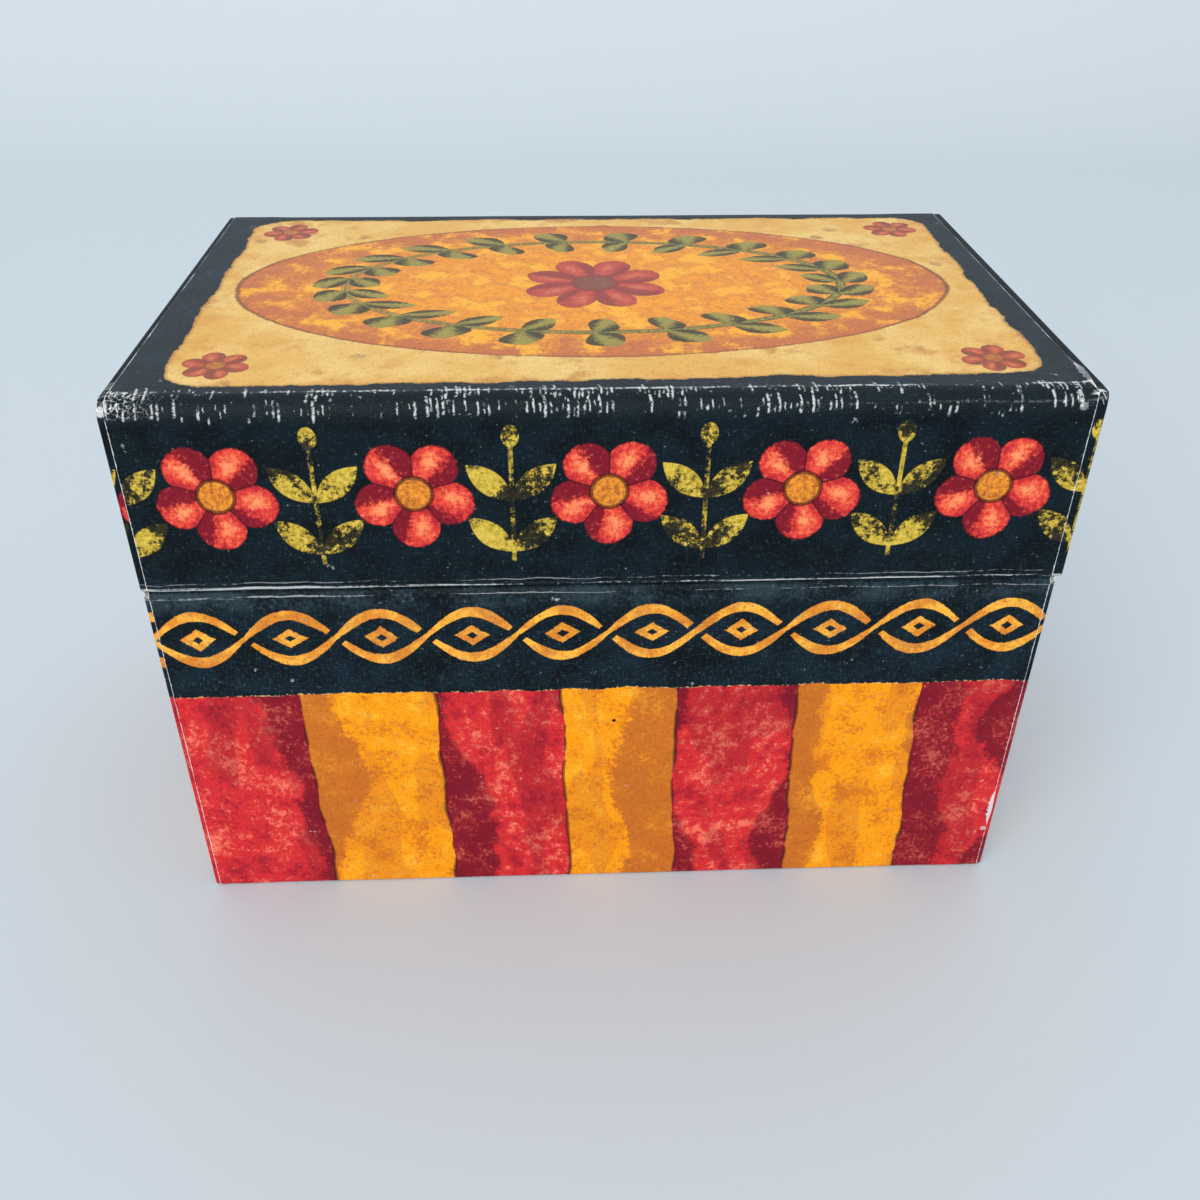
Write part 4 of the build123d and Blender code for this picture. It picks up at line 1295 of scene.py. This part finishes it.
def fibre_finish(name, base, speck, size, roughness, depth_mm, folded=False, fold_tint=None):
    """Paper or board: cloudy base, short fibres drawn out two ways, and a fine tooth."""
    finish = Finish(name)
    if folded:
        place, rub = finish.print_place()
        u, v, _ = finish.parts(place)
        at = finish.vector(u, v)
    else:
        at = finish.object_place()
    x, y, z = finish.parts(at)
    wash = finish.noise(at, size * 12, 3.0, 0.6, folded)
    tooth = finish.noise(at, size * 0.35, 2.0, 0.7, folded)
    one, two = (
        finish.noise(finish.vector(x / across, y / along, z / along), 1.0, 1.0, 0.5, folded)
        for across, along in ((size, size * FIBRE), (size * FIBRE, size)))
    dark = [c * 0.86 for c in base[:3]] + [1.0]
    fibres = (one.rise(0.62, 0.72) + two.rise(0.62, 0.72)) * 0.3
    colour = finish.coats(dark, (wash.rise(0.3, 0.7), base), (fibres, speck))
    if fold_tint:
        colour = finish.coats(colour, ((rub + (tooth - 0.5)).rise(0.5, 1.2) * 0.5, fold_tint))
    return finish.surface(colour, roughness, tooth + one * 0.5 + two * 0.5, depth_mm)


CREAM = (ink(236, 226, 204), ink(206, 190, 158))
lining_print = fibre_finish(
    "cream lining on folded strips", *CREAM, 0.7, 0.78, 0.04, True, ink(198, 176, 138))
lining_flat = fibre_finish("cream lining paper", *CREAM, 0.7, 0.78, 0.04)
paper_back = fibre_finish(
    "back of the printed paper", ink(228, 222, 208), ink(190, 182, 164), 0.6, 0.85, 0.03, True)
cut_edge = fibre_finish("white cut edge", ink(226, 224, 218), ink(180, 176, 168), 0.4, 0.85, 0.03, True)
greyboard = fibre_finish("greyboard", ink(158, 150, 136), ink(112, 104, 94), 0.9, 0.88, 0.08)
neck_board = fibre_finish("neck greyboard", ink(170, 160, 144), ink(120, 110, 98), 0.8, 0.88, 0.07)
kraft_tape = fibre_finish("brown corner tape", ink(176, 138, 92), ink(128, 94, 58), 0.8, 0.7, 0.05)

# %% [markdown]
# ## Putting the finishes on
#
# A sheet's faces are numbered as they were made: printed face, glued face and cut edge. The
# lid's panel is the part of the large sheet that lies flat on top. The CAD pieces whose
# sheets bend or fold are replaced by the new ones, and the others get a plain finish by the
# kind of piece they are.

# %% Finishes on the new papers
def dress(piece, face_finish, back=paper_back, edge=cut_edge):
    """Gives a sheet the finishes of its printed face, its glued face and its cut edge."""
    for material in (face_finish, back, edge):
        piece.data.materials.append(material)


def of_faces(mesh, field, width=1, kind=np.float32):
    """One field of all faces of a mesh, as an array with a row for each."""
    values = np.zeros(len(mesh.polygons) * width, kind)
    mesh.polygons.foreach_get(field, values)
    return values.reshape(-1, width)


def dress_top(piece, face_finish):
    """Gives a sheet's level printed faces at the top of the lid another finish."""
    mesh = piece.data
    mesh.materials.append(face_finish)
    slot = of_faces(mesh, "material_index", 1, np.int32)
    _, y, z = of_faces(mesh, "center", 3).T * 1000
    upwards = of_faces(mesh, "normal", 3)[:, 2]
    level = (slot[:, 0] == 0) & (z > TOP - 0.5) & (upwards > 0.3)
    level &= (y > BACK + HINGE_EDGE) & (y < LID_FRONT - FRONT_EDGE)
    slot[level] = 3
    mesh.polygons.foreach_set("material_index", slot.ravel())
    print(piece.name, "faces of the panel", int(level.sum()))


for piece in (cover, front_sheet, *wraps.values()):
    dress(piece, printed)
dress_top(cover, panel)
for piece in (inner_strip, neck_paper):
    dress(piece, lining_print, lining_print, lining_print)

# %% Finishes on the CAD pieces
REPLACED = {
    "cover_sheet": ["base_back_sheet", "hinge_crease", "lid_cover_sheet"],
    "base_front_paper": ["base_front_sheet"], "inner_hinge_strip": ["hinge_strip"],
    "neck_lining_paper": ["neck_lining"], "lid_left_end_wrap": ["lid_left_wrap"],
    "lid_right_end_wrap": ["lid_right_wrap"], "base_left_end_wrap": ["base_left_wrap"],
    "base_right_end_wrap": ["base_right_wrap"],
}
for name, old in REPLACED.items():
    piece = bpy.data.objects[name]
    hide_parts(*old)

PLAIN = {"lining": lining_flat, "stays": kraft_tape, "bottom": bottom_print, "neck": neck_board}
for node_name, node in nodes.items():
    node.data.materials.clear()
    node.data.materials.append(next((PLAIN[word] for word in PLAIN if word in node_name), greyboard))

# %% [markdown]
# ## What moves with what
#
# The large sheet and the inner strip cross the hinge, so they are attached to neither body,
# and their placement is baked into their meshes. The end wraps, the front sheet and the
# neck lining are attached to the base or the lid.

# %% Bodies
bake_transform(cover)
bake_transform(inner_strip)
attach(front_sheet, "base")
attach(neck_paper, "base")
for (body, _), wrap in wraps.items():
    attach(wrap, body)

# %% Size of what is shown against the frame, and the end
seen_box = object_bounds()
beyond = [round((a - b) * 1000, 2) for p, q in zip(seen_box, cad_box) for a, b in zip(p, q)]
print("visual minus CAD, mm", beyond)
